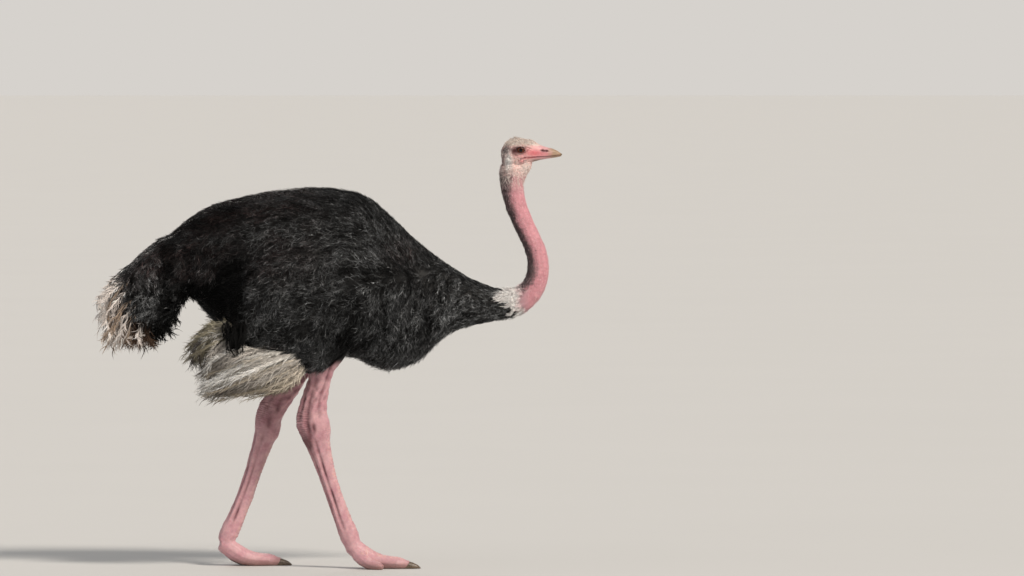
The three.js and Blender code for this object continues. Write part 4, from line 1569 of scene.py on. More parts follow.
        # no brown in the folds, which hold painted shade
        brown = np.clip(brown, 0, 1) * rng.beta(0.9, 1.3, count) * (1 - fold)
        end = mix(end, linear(self.brown) * (0.3 + pale[:, None]), brown)
        size = (1 - 0.40 * small) * rng.uniform(0.8, 1.2, count) * (1 - 0.2 * sleek)
        feathers = Feathers(shaft, outward, base, end, body_seat(roots), size, turn=0.42, blur=0.30)
        barbs, shafts = feathers.barbs(self.vane, rng), feathers.shafts(self.vane)
        made = []
        for name, chosen in self.regions(roots).items():
            which = np.repeat(chosen, self.vane.barbs)
            piece = woven(f"coat_{name}", [barbs.chosen(which), shafts.chosen(chosen)])
            made.append(dressed(piece, self.finish))
        return made

    def regions(self, roots: Array) -> dict[str, Array]:
        """Parts the roots by place, so that no piece is too big."""
        x, y, z = roots.T
        neck = x > 0.36
        rump = ~neck & (x < -0.42)
        back = ~neck & ~rump & (np.abs(y) < 0.75 * (z - 1.0))
        flank = ~neck & ~rump & ~back
        lower = flank & (z < 0.98)
        return {
            "neck_base": neck,
            "rump": rump,
            "back": back,
            "flank_right": flank & ~lower & (y < 0),
            "flank_left": flank & ~lower & (y >= 0),
            "belly_right": lower & (y < 0),
            "belly_left": lower & (y >= 0),
        }


class Tint(Enum):
    """The colours that plumes come in, near the root and at the tip."""

    PALE = ("#14110f", "#d2c9c3")
    DUN = ("#14110f", "#a69280")
    BROWN = ("#110e0d", "#4c3a2e")
    BLACK = ("#040404", "#0d0d0d")
    WHITE = ("#dad6d0", "#ece9e4")
    CREAM = ("#b3aa9d", "#978d7d")
    ASH = ("#b3ada6", "#6c665f")
    # olive and smoke: dull grey-brown plumes, their darkness partly painted shade under the wing's rear edge
    OLIVE = ("#88826f", "#746d5c")
    SMOKE = ("#6a665f", "#3f3b39")


@dataclass(frozen=True)
class Bunch:
    """A bunch of plumes that hang together. Places are X and Z in millimetres."""

    root: tuple[float, float]
    middle: tuple[float, float]
    tip: tuple[float, float]
    tint: Tint
    count: int
    out: float = 0.0  # how far to the side of the rest, or how wide the bunch fans
    turn: float = 0.5  # where along a plume its colour changes
    size: float = 1.0  # a factor on the length of the barbs

    def curve(self, nudge: Array, out: tuple[float, float, float], swing: float, phase: float) -> Array:
        """The line of one plume.

        Args:
            nudge: how far each of the three places is moved, in millimetres.
            out: Y of each of the three places, in millimetres.
            swing: how far the plume sways from side to side, in millimetres.
            phase: where in its sway it starts.
        Returns:
            The points, in metres.
        """
        knots = np.array([[p[0], y, p[1]] for p, y in zip((self.root, self.middle, self.tip), out)]) + nudge
        pull = 2 * knots[1] - 0.5 * (knots[0] + knots[2])
        u = np.linspace(0, 1, 10)[:, None]
        line = (1 - u) ** 2 * knots[0] + 2 * u * (1 - u) * pull + u**2 * knots[2]
        way = unit(np.gradient(line, axis=0))
        line[:, ::2] += way[:, [2, 0]] * (1, -1) * (np.sin(9.0 * u + phase) * u * swing)
        return line * MM


class Plumes:
    """Plumes gathered one by one, to be made into a piece."""

    def __init__(self, rng: Random) -> None:
        """Starts with none."""
        self.rng = rng
        self.rows: list[tuple[Array, Array, Array, Array, tuple[float, float], float, float]] = []

    def add(
        self, curve: Array, face: Array, tint: Tint, seat: tuple[float, float], turn: float, size: float
    ) -> None:
        """Adds one plume.

        Args:
            curve: its line.
            face: roughly which way it faces.
            tint: its colours.
            seat: its place on the bake map.
            turn: where along it its colour changes.
            size: a factor on its barbs.
        """
        way = unit(np.gradient(curve, axis=0))
        face = face + self.rng.normal(0, 0.35, 3)
        outward = unit(face - way * (way @ face)[:, None])
        bright = math.exp(self.rng.normal(0, 0.11))
        base, end = (np.clip(linear(colour) * bright, 0, 0.9) for colour in tint.value)
        self.rows.append((curve, outward, base, end, seat, turn, size))

    def piece(self, name: str, vane: Vane, blur: float) -> Piece:
        """Makes the mesh of all the plumes."""
        curve, outward, base, end, seat, turn, size = (np.array(column) for column in zip(*self.rows))
        size = size * self.rng.uniform(0.75, 1.2, len(curve))
        feathers = Feathers(curve, outward, base, end, seat, size, turn=turn, blur=blur)
        return woven(name, [feathers.barbs(vane, self.rng), feathers.shafts(vane)])


@dataclass
class TailCoat:
    """The tail: loose plumes that droop from under the black feathers, pale behind and black in front."""

    seed: int = 201
    bunches: tuple[Bunch, ...] = (
        Bunch((-690, 1078), (-766, 1026), (-806, 956), Tint.PALE, 12, 52, 0.40),
        Bunch((-690, 1055), (-770, 985), (-810, 900), Tint.PALE, 14, 86, 0.32),
        Bunch((-690, 1025), (-760, 940), (-806, 842), Tint.PALE, 15, 112, 0.32),
        Bunch((-685, 1000), (-752, 905), (-796, 814), Tint.DUN, 15, 122, 0.40),
        Bunch((-675, 985), (-728, 885), (-764, 810), Tint.PALE, 15, 126, 0.41),
        Bunch((-660, 965), (-702, 870), (-724, 808), Tint.DUN, 15, 124, 0.45),
        Bunch((-645, 950), (-678, 866), (-690, 812), Tint.PALE, 13, 118, 0.50),
        Bunch((-625, 945), (-654, 866), (-660, 814), Tint.BROWN, 13, 110, 0.50),
        Bunch((-600, 950), (-626, 880), (-628, 822), Tint.BLACK, 13, 96, 0.50, 0.8),
        Bunch((-575, 955), (-598, 892), (-602, 838), Tint.BLACK, 12, 84, 0.50, 0.7),
        Bunch((-560, 965), (-582, 908), (-588, 864), Tint.BLACK, 10, 76, 0.50, 0.7),
        Bunch((-540, 985), (-556, 935), (-566, 888), Tint.BLACK, 9, 70, 0.50, 0.7),
        Bunch((-512, 1040), (-528, 1000), (-538, 952), Tint.BLACK, 15, 76, 0.50, 0.55),
        Bunch((-490, 1050), (-500, 1020), (-506, 988), Tint.BLACK, 15, 80, 0.50, 0.5),
        Bunch((-470, 1030), (-478, 1000), (-482, 972), Tint.BLACK, 14, 84, 0.50, 0.45),
    )
    odds: tuple[float, ...] = (0.50, 0.18, 0.14, 0.18)  # of a pale bunch's own colour, pale, dun and brown
    top_odds: tuple[float, ...] = (0.84, 0.06, 0.06, 0.04)  # the same in the upper bunches
    top_rows: int = 3
    vane: Vane = Vane(
        barbs=40, reach=42 * MM, width=3.9 * MM, stations=5, root_angle=math.radians(16),
        tip_angle=math.radians(8), sweep=0.0, curl=0.42, lift=0.22, sag=0.16, shaft=1.2 * MM, tint=0.28,
        tip_length=0.8, roll=0.5, wave=0.18,
    )

    def build(self) -> Piece:
        """Makes the plumes."""
        rng = np.random.default_rng(self.seed)
        plumes = Plumes(rng)
        for row, bunch in enumerate(self.bunches):
            for k in range(bunch.count):
                share = (k + rng.uniform(-0.3, 0.3)) / (bunch.count - 1) * 2 - 1
                y = share * bunch.out
                drop = 0.12 * abs(y)
                nudge = rng.normal(0, 1, (3, 3)) * np.array([[8, 0, 8], [10, 5, 9], [13, 8, 10]])
                nudge[2] += (drop, 0, drop)
                out = (0.75 * y, 0.95 * y, 1.02 * y)
                curve = bunch.curve(nudge, out, rng.uniform(3, 10), rng.uniform(0, TURN))
                tint = bunch.tint
                if tint in (Tint.PALE, Tint.DUN):
                    odds = self.top_odds if row < self.top_rows else self.odds
                    tint = rng.choice([tint, Tint.PALE, Tint.DUN, Tint.BROWN], p=odds)
                seat = ((row + 0.5) / len(self.bunches), (k + 0.5) / bunch.count)
                turn = bunch.turn + rng.normal(0, 0.07)
                plumes.add(curve, np.array([-0.6, 0.9 * share, 0.5]), tint, seat, turn, bunch.size)
        piece = plumes.piece("tail_plume_fan", self.vane, 0.13)
        return dressed(piece, FeatherFinish("pale_tail_plume", sheen=0.1), ["tail_plumes"])


@dataclass
class WingPlumes:
    """The big soft white plumes that hang below and behind each folded wing."""

    seed: int = 301
    out: float = 226 * MM
    bunches: tuple[Bunch, ...] = (
        Bunch((-74, 732), (-165, 662), (-300, 640), Tint.CREAM, 14, -10, 0.6, 0.75),
        Bunch((-78, 738), (-205, 667), (-385, 632), Tint.CREAM, 14, -2, 0.7, 0.85),
        Bunch((-84, 746), (-240, 676), (-425, 628), Tint.ASH, 15, 6, 0.75),
        Bunch((-84, 762), (-250, 696), (-432, 636), Tint.WHITE, 16, 12, 0.7),
        Bunch((-98, 782), (-262, 728), (-432, 654), Tint.WHITE, 16, 12, 0.7),
        Bunch((-160, 782), (-305, 744), (-424, 668), Tint.WHITE, 15, 8, 0.7),
        Bunch((-215, 792), (-338, 760), (-424, 688), Tint.ASH, 13, 2, 0.7),
        Bunch((-268, 800), (-362, 772), (-430, 704), Tint.WHITE, 11, -4, 0.7),
        Bunch((-330, 850), (-382, 794), (-436, 702), Tint.ASH, 13, -6, 0.7, 0.8),
        Bunch((-318, 856), (-400, 812), (-436, 746), Tint.BLACK, 5, -8, 0.4, 0.32),
        Bunch((-348, 890), (-344, 840), (-322, 782), Tint.BLACK, 15, 18, 0.4, 0.5),
        Bunch((-326, 894), (-328, 830), (-318, 748), Tint.BLACK, 16, 24, 0.4, 0.5),
        Bunch((-302, 888), (-306, 836), (-310, 776), Tint.BLACK, 14, 28, 0.4, 0.5),
        # the olive lobe tucked under the wing's rear edge: partly real grey-brown, partly painted shade
        Bunch((-300, 848), (-418, 822), (-470, 746), Tint.OLIVE, 14, -18, 0.6),
        Bunch((-298, 856), (-412, 846), (-474, 780), Tint.OLIVE, 14, -22, 0.7),
        Bunch((-296, 862), (-392, 868), (-452, 820), Tint.OLIVE, 12, -26, 0.7),
    )
    white_odds: tuple[float, ...] = (0.66, 0.10, 0.24)  # of white, cream and ash in a white bunch
    olive_odds: tuple[float, ...] = (0.56, 0.10, 0.34)  # of olive, white and smoke in an olive one
    spread: float = 26.0  # how far apart the plumes of a bunch hang, either way, in millimetres
    edge: float = 280 * MM  # how far out the barbs stand before they are pressed flatter
    vane: Vane = Vane(
        barbs=66, reach=50 * MM, width=2.4 * MM, stations=5, root_angle=math.radians(15),
        tip_angle=math.radians(11), sweep=0.05, curl=0.30, lift=0.12, sag=0.10, shaft=0.6 * MM, tint=0.25,
        tip_length=0.62, first=0.0, roll=0.5, wave=0.10,
    )

    def build(self) -> list[Piece]:
        """Makes the plumes of both wings."""
        return [self.side(name, sign) for name, sign in SIDES.items()]

    def side(self, name: str, sign: float) -> Piece:
        """The plumes of one wing."""
        rng = np.random.default_rng(self.seed)
        plumes = Plumes(rng)
        for row, bunch in enumerate(self.bunches):
            for k in range(bunch.count):
                share = (k + 0.5) / bunch.count * 2 - 1
                y = self.out / MM + bunch.out + share * self.spread
                out = (sign * (y - 16), sign * (y + 12), sign * (y - 30))
                nudge = rng.normal(0, 1, (3, 3)) * np.array([[9, 5, 7], [12, 7, 11], [15, 8, 13]])
                curve = bunch.curve(nudge, out, rng.uniform(1, 6), rng.uniform(0, TURN))
                tint = bunch.tint
                if tint is Tint.WHITE:
                    tint = rng.choice([Tint.WHITE, Tint.CREAM, Tint.ASH], p=self.white_odds)
                elif tint is Tint.OLIVE:
                    tint = rng.choice([Tint.OLIVE, Tint.WHITE, Tint.SMOKE], p=self.olive_odds)
                seat = ((row + 0.5) / len(self.bunches), (k + 0.5) / bunch.count)
                turn = bunch.turn + rng.normal(0, 0.1)
                plumes.add(curve, np.array([0.1, sign * 1.0, 0.35]), tint, seat, turn, bunch.size)
        piece = plumes.piece(f"wing_plume_bunch_{name}", self.vane, 0.25)
        points = points_of(piece)
        past = np.maximum(sign * points[:, 1] - self.edge, 0)
        points[:, 1] -= sign * 0.75 * past  # the outermost barbs lie flatter
        place(piece, points)
        finish = FeatherFinish("white_wing_plume", sheen=0.1)
        return dressed(piece, finish, [f"wing_plumes_{name}"])


# ------------------------------------------------------------------ down and bristles
@dataclass(frozen=True)
class Bristle:
    """How the blades of one kind of short tuft stand on the skin."""

    blades: int
    width: float
    fan: float = 0.25  # how far the blades of a tuft spread
    fall: float = 0.35  # how far a tip bends back to the skin
    tint: float = 0.16  # how much blades differ in brightness
    stations: int = 3

    def tufts(
        self, spot: Array, outward: Array, way: Array, length: Array, stand: Array, colour: Array,
        seat: Array, rng: Random,
    ) -> Strands:
        """Makes the blades of many tufts.

        Args:
            spot: where each tuft is rooted.
            outward: the skin's outward direction there.
            way: which way it lies.
            length: of its blades.
            stand: how steeply it stands, in radians.
            colour: its colour.
            seat: its place on the bake map.
            rng: where the small differences come from.
        Returns:
            The blades.
        """
        tuft = np.repeat(np.arange(len(spot)), self.blades)
        total = len(tuft)
        way = unit(way - outward * (way * outward).sum(1)[:, None])[tuft]
        up = outward[tuft]
        steep = stand[tuft] * np.exp(rng.normal(0, 0.25, total))
        direction = way * np.cos(steep)[:, None] + up * np.sin(steep)[:, None]
        direction = unit(direction + rng.normal(0, self.fan, (total, 3)))
        long = (length[tuft] * rng.uniform(0.6, 1.15, total))[:, None, None]
        u = np.linspace(0, 1, self.stations)[None, :, None]
        bend = way * self.fall - up * (self.fall * np.sin(steep))[:, None]
        root = spot[tuft] - up * 0.4 * MM + rng.normal(0, 0.6 * MM, (total, 3)) * (1 - np.abs(up))
        path = root[:, None] + long * (u * direction[:, None] + u * u * bend[:, None])
        edge = unit(np.cross(direction, up + rng.normal(0, 0.4, (total, 3))))
        taper = (1.0 - u[0, :, 0] ** 1.5) * 0.5 * self.width
        bright = np.exp(rng.normal(0, self.tint, total))[:, None]
        shade = np.clip(colour[tuft] * bright, 0, 0.95)
        half = edge[:, None] * taper[None, :, None]
        return Strands(path, half, np.repeat(shade[:, None], self.stations, 1), seat[tuft])


def neck_seat(points: Array) -> Array:
    """Places on the bake map for roots on the neck: along it, and round it."""
    along, front, side = NECK.locate(points)
    return seat_at(along / NECK.lengths[-1], side, front)


@dataclass
class CollarDown:
    """The collar of white down that streams back over the black feathers at the base of the neck."""

    surface: Surface
    seed: int = 401
    count: int = 1900
    vane: Vane = Vane(
        barbs=10, reach=26 * MM, width=1.3 * MM, root_angle=math.radians(8), tip_angle=math.radians(3),
        curl=0.07, lift=0.08, sweep=0.0, shaft=0.5 * MM, tint=0.25, first=0.0, roll=0.6,
    )
    white: str = "#faf7f4"
    grey: str = "#8d8484"
    mauve: str = "#c9a6aa"

    def build(self) -> Piece:
        """Makes the collar."""
        rng = np.random.default_rng(self.seed)
        roots = self.surface.scatter(rng, self.count, self.thickness)
        x, z = under_slant(roots), roots[:, 2]
        front = ease(0.670, 0.700, x)
        low = ease(0.955, 0.920, z)
        lock = self.streak(roots)
        long = (40 * MM * (1 - 0.65 * front) + 11 * MM * lock) * rng.uniform(0.6, 1.25, self.count)
        long *= 1 - 0.62 * low + 0.35 * hill(z, 0.982, 0.02)
        lift = (5.5 * MM + 2.5 * MM * lock) * (1 - 0.7 * front) * (1 - 0.5 * low)
        lift += rng.normal(0, 1.2 * MM, self.count)
        depth = np.full(self.count, 0.8 * MM)
        shaft, outward = laid(self.surface, roots, self.heading, long, depth, lift)
        white = even(self.white, roots)
        base = mix(white, self.mauve, 0.9 * ease(0.672, 0.696, x + 0.006 * lock))
        end = mix(white, self.mauve, 0.8 * ease(0.682, 0.706, x))
        end = mix(end, self.grey, (rng.random(self.count) < 0.20) * 0.8)
        size = (1 - 0.55 * front) * (1 - 0.62 * low)
        feathers = Feathers(shaft, outward, base, end, neck_seat(roots), size, turn=0.3, blur=0.3)
        piece = woven("collar_down", [feathers.barbs(self.vane, rng), feathers.shafts(self.vane)])
        return dressed(piece, FeatherFinish("white_collar_down", roughness=0.7, sheen=0.35))

    def streak(self, points: Array) -> Array:
        """The locks that the down gathers into."""
        return Drift(51, 26 * MM)(points)

    def thickness(self, points: Array) -> Array:
        """How thickly it grows: in ragged locks behind, and thinning out over the pink skin in front."""
        x, z = under_slant(points), points[:, 2]
        rear = 0.686 - 0.014 * hill(z, 0.980, 0.018) - 0.006 * hill(z, 0.915, 0.018)
        rear -= 0.014 * self.streak(points)
        keep = ease(rear - 0.012, rear + 0.006, x) * ease(0.714, 0.678, x) * (z > 0.86) * (z < 1.03)
        return keep + 1e-9

    def heading(self, points: Array, outward: Array) -> Array:
        """Back along the neck towards the body, in wandering locks."""
        way = -NECK.ahead(points)
        return way + np.cross(outward, way) * (0.16 * self.streak(points) + 0.05)[:, None]


@dataclass
class NeckDown:
    """The neck's fine down: pale and thin all round, and a dense dark stripe of bristles along the nape."""

    surface: Surface
    seed: int = 501
    pale_count: int = 5200
    dark_count: int = 6000
    pale: Bristle = Bristle(blades=2, width=0.55 * MM, fan=0.30)
    dark: Bristle = Bristle(blades=3, width=0.85 * MM, fan=0.22)
    pale_colour: str = "#dcb9bb"
    throat_colour: str = "#e3d8d0"
    dark_colours: tuple[str, str] = ("#3a3133", "#7d7072")
    ring: float = 5.4 * MM  # between the dark cross strokes

    def build(self) -> list[Piece]:
        """Makes both kinds."""
        rng = np.random.default_rng(self.seed)
        return [self.pale_down(rng), self.nape(rng)]

    def pale_down(self, rng: Random) -> Piece:
        """The pale down, longer under the throat."""
        spot, outward = self.surface.rooted(rng, self.pale_count, self.pale_thickness)
        throat = ease(1.34, 1.42, spot[:, 2])
        length = rng.uniform(4.5, 8.5, len(spot)) * MM * (1 + 0.8 * throat)
        stand = rng.uniform(0.25, 0.75, len(spot))
        colour = mix(even(self.pale_colour, spot), self.throat_colour, throat)
        way = -NECK.ahead(spot)
        blades = self.pale.tufts(spot, outward, way, length, stand, colour, neck_seat(spot), rng)
        finish = FeatherFinish("pale_neck_down", roughness=0.7, sheen=0.2)
        return dressed(woven("neck_down", [blades]), finish)

    def nape(self, rng: Random) -> Piece:
        """The dark bristles, which lie in short strokes across the neck where the stripe ends."""
        spot, outward = self.surface.rooted(rng, self.dark_count, self.dark_thickness)
        _, angle = NECK.around(spot)
        way = -NECK.ahead(spot)
        side = np.sign(spot[:, 1])
        round_ = np.cross(outward, way) * side[:, None]
        round_ *= np.sign((round_ * LEFT).sum(1) * side)[:, None]
        margin = ease(2.5, 1.9, angle)
        way = way + round_ * (0.25 + 1.3 * margin)[:, None]
        length = rng.uniform(6.5, 12.0, len(spot)) * MM * (1 - 0.30 * margin)
        stand = rng.uniform(0.15, 0.45, len(spot)) * (1 - 0.4 * margin)
        share = np.clip(rng.beta(1.2, 2.2, len(spot)) + 0.25 * margin, 0, 1)
        dark, light = (even(colour, spot) for colour in self.dark_colours)
        colour = mix(dark, light, share)
        blades = self.dark.tufts(spot, outward, way, length, stand, colour, neck_seat(spot), rng)
        finish = FeatherFinish("dark_nape_bristle", roughness=0.6, sheen=0.1)
        return dressed(woven("nape_bristles", [blades]), finish)

    def pale_thickness(self, points: Array) -> Array:
        """All round the neck, thicker under the throat."""
        z = points[:, 2]
        along = NECK.locate(points)[0]
        return ease(0.145, 0.175, along) * ease(1.425, 1.405, z) * (1.0 + 2.5 * ease(1.33, 1.40, z)) + 1e-9

    def dark_thickness(self, points: Array) -> Array:
        """Along the nape, broken into cross strokes at its margin."""
        along, angle = NECK.around(points)
        z = points[:, 2]
        core = Markings().nape_stripe(points, angle, Drift(13, 34 * MM)(points))
        margin = Markings().nape_stripe(points, angle + 0.45, Drift(14, 12 * MM)(points))
        stroke = 0.5 + 0.5 * np.sin(along / self.ring * TURN + 2.0 * Drift(52, 40 * MM)(points))
        return (core + 0.35 * margin * stroke**2) * ease(1.445, 1.42, z) * ease(0.16, 0.21, along) + 1e-9


@dataclass
class HeadBristles:
    """The short bristly down of the head, whiter on the ear patch, with a crest and the lashes."""

    surface: Surface
    eyes: Eyes
    seed: int = 601
    count: int = 11500
    kind: Bristle = Bristle(blades=3, width=0.75 * MM, fan=0.24, tint=0.24)
    crest: Bristle = Bristle(blades=4, width=0.6 * MM, fan=0.35, tint=0.2)
    lash: Bristle = Bristle(blades=2, width=0.8 * MM, fan=0.10, fall=-0.35, stations=5)
    crest_count: int = 90
    lash_rows: tuple[tuple[int, int, int, float], ...] = (
        (20, 168, 46, 9.0), (205, 335, 22, 4.0),
    )  # degrees round the eye from and to, number, and length in millimetres
    pale: str = "#efe9e4"
    dark: str = "#6a6060"
    ear: str = "#f1ebe8"
    top: str = "#cfc6c0"
    black: str = "#0b0808"

    def build(self) -> list[Piece]:
        """Makes the bristles and the lashes."""
        rng = np.random.default_rng(self.seed)
        return [self.coat(rng), self.lashes(rng)]

    def coat(self, rng: Random) -> Piece:
        """The bristles, longest on the crown and round the ear."""
        spot, outward = self.surface.rooted(rng, self.count, self.thickness)
        x, z = spot[:, 0] / MM, spot[:, 2] / MM
        crown = ease(1512, 1530, z)
        rear = ease(668, 640, x)
        long = 4.2 - 1.6 * ease(735, 765, x) + 2.6 * crown * ease(770, 720, x) + 2.4 * rear
        long += 3.0 * ease(1450, 1430, z)
        nape = hill(z, 1450, 15) * ease(648, 634, x)
        long += 9.0 * nape
        length = long * MM * rng.uniform(0.75, 1.25, len(spot))
        stand = 0.35 + 0.30 * crown + 0.15 * rear + 0.30 * nape
        way = backwards(0.35 + 1.3 * ease(700, 640, x) + ease(1460, 1430, z))
        colour = np.clip(Markings().head(spot) * 1.15, 0, 0.85)
        hoary = rng.random(len(x))
        colour = mix(colour, self.pale, 0.6 * (hoary > 0.75))
        ear = 0.9 * EAR.cover(x, z)
        colour = mix(colour, self.dark, 0.5 * (hoary < (0.05 + 0.15 * rear) * (1 - ear)))
        colour = mix(colour, self.ear, 0.75 * ear)
        blades = [self.kind.tufts(spot, outward, way, length, stand, colour, self.seat(spot), rng)]
        many = self.crest_count
        x, y = rng.normal(676, 9, many), rng.normal(0, 12, many)
        tops = np.column_stack([x, y, np.full(many, 1600.0)]) * MM
        spot, outward = self.surface.nearest(tops)
        fill = np.ones(len(spot))
        shade = even(self.top, spot)
        back = np.tile([-1.0, 0.0, 0.1], (len(spot), 1))
        seat = self.seat(spot)
        blades.append(self.crest.tufts(spot, outward, back, 13 * MM * fill, 0.9 * fill, shade, seat, rng))
        finish = FeatherFinish("head_bristle", roughness=0.65, sheen=0.15)
        return dressed(woven("head_bristles", blades), finish)

    def lashes(self, rng: Random) -> Piece:
        """A row of black lashes on the edge of each upper lid, and a thin one below."""
        blades = []
        for sign in SIDES.values():
            for low, high, count, long in self.lash_rows:
                t = np.radians(np.linspace(low, high, count))
                half_long, half_high = self.eyes.opening
                along = half_long * 1.04 * np.cos(t)
                up = half_high * 1.08 * np.sin(t) * (1 - 0.18 * np.cos(t) ** 2)
                tilt = self.eyes.tilt
                spot = np.column_stack([
                    self.eyes.ahead + along * math.cos(tilt) - up * math.sin(tilt),
                    np.full(count, sign * 60 * MM),
                    self.eyes.height + up * math.cos(tilt) + along * math.sin(tilt),
                ])
                spot[:, 1] = self.skin_side(spot, sign)
                outward = np.tile([0.0, sign, 0.0], (count, 1))
                way = np.column_stack([0.9 * np.cos(t), np.zeros(count), np.sin(t)])
                fill = np.ones(count)
                shade = even(self.black, spot)
                seat = self.seat(spot)
                lash = self.lash.tufts(spot, outward, way, long * MM * fill, 0.75 * fill, shade, seat, rng)
                blades.append(lash)
        finish = FeatherFinish("black_lash", roughness=0.4, sheen=0.0)
        return dressed(woven("eyelashes", blades), finish)

    def skin_side(self, spots: Array, sign: float) -> Array:
        """How far out the skin lies at each place, seen from the side."""
        out = []
        for spot in spots:
            hit = self.surface.tree.ray_cast(Vector(spot), Vector((0.0, -sign, 0.0)))[0]
            out.append(hit.y if hit is not None else sign * 38 * MM)
        return np.array(out)

    def thickness(self, points: Array) -> Array:
        """How thickly they grow: none on the bill, the bare face and the lids."""
        x, z = points[:, 0] / MM, points[:, 2] / MM
        keep = ease(1404, 1424, z) * ease(790, 748, x)
        bare = ((x - 724) / 46) ** 2 + ((z - 1492) / 24) ** 2
        past = x - 1.2 * np.maximum(z - 1505, 0) - 26 * ease(1468, 1455, z)
        keep = keep * ease(0.75, 1.35, bare) * ease(740, 704, past)
        keep = keep * ease(0.9, 1.5, ((x - 681) / 21) ** 2 + ((z - 1500) / 15) ** 2)
        for sign in SIDES.values():
            _, _, share = self.eyes.almond(points, sign)
            keep = keep * np.where(points[:, 1] * sign > 0, ease(1.30, 1.75, share), 1.0)
        return keep + 1e-9

    def seat(self, points: Array) -> Array:
        """Places on the bake map: from rear to bill, and round the head."""
        x, y, z = points.T
        return seat_at((x - 0.615) / 0.17, y, z - 1.475)


# ------------------------------------------------------------------ horn
def plates(name: str, grids: Sequence[tuple[Array, Array]], thick: float) -> Piece:
    """Makes one mesh of many small domed plates, each closed underneath and sunk in the skin at its rim.

    Args:
        name: the piece's name.
        grids: for each plate, points on the skin in rows from its tucked edge to its free one, and the
            outward direction at each.
        thick: how far the free edge stands out.
    Returns:
        The piece.
    """
    points, faces, first = [], [], 0
    for grid, outward in grids:
        rows, columns = grid.shape[:2]
        v = np.linspace(0, 1, rows)[:, None]
        u = np.linspace(-1, 1, columns)[None, :]
        dome = (1 - np.abs(u) ** 4) * np.clip(np.minimum(v * 3.0, (1 - v) * 6.0 + 0.35), 0, 1)
        rise = thick * (dome * (0.45 + 0.75 * v)) - 0.5 * MM * (np.abs(u) > 0.99)
        top = grid + outward * rise[..., None]
        under = grid - outward * 1.2 * MM
        points += [top.reshape(-1, 3), under.reshape(-1, 3)]
        index = np.arange(rows * columns).reshape(rows, columns) + first
        low = index + rows * columns
        quads = np.stack([index[:-1, :-1], index[:-1, 1:], index[1:, 1:], index[1:, :-1]], -1).reshape(-1, 4)
        faces += quads.tolist() + (quads[:, ::-1] + rows * columns).tolist()
        loop = np.concatenate([index[0, :-1], index[:-1, -1], index[-1, :0:-1], index[:0:-1, 0]])
        deep = np.concatenate([low[0, :-1], low[:-1, -1], low[-1, :0:-1], low[:0:-1, 0]])
        faces += np.stack([loop, deep, np.roll(deep, -1), np.roll(loop, -1)], -1).tolist()
        first += 2 * rows * columns
    mesh = bpy.data.meshes.new(name)
    mesh.from_pydata(np.concatenate(points).tolist(), [], faces)
    piece = linked(name, mesh)
    alone(piece)
    bpy.ops.object.mode_set(mode="EDIT")
    bpy.ops.mesh.select_all(action="SELECT")
    bpy.ops.mesh.normals_make_consistent(inside=False)
    bpy.ops.object.mode_set(mode="OBJECT")
    bpy.ops.object.shade_smooth_by_angle(angle=math.radians(50))
    return piece


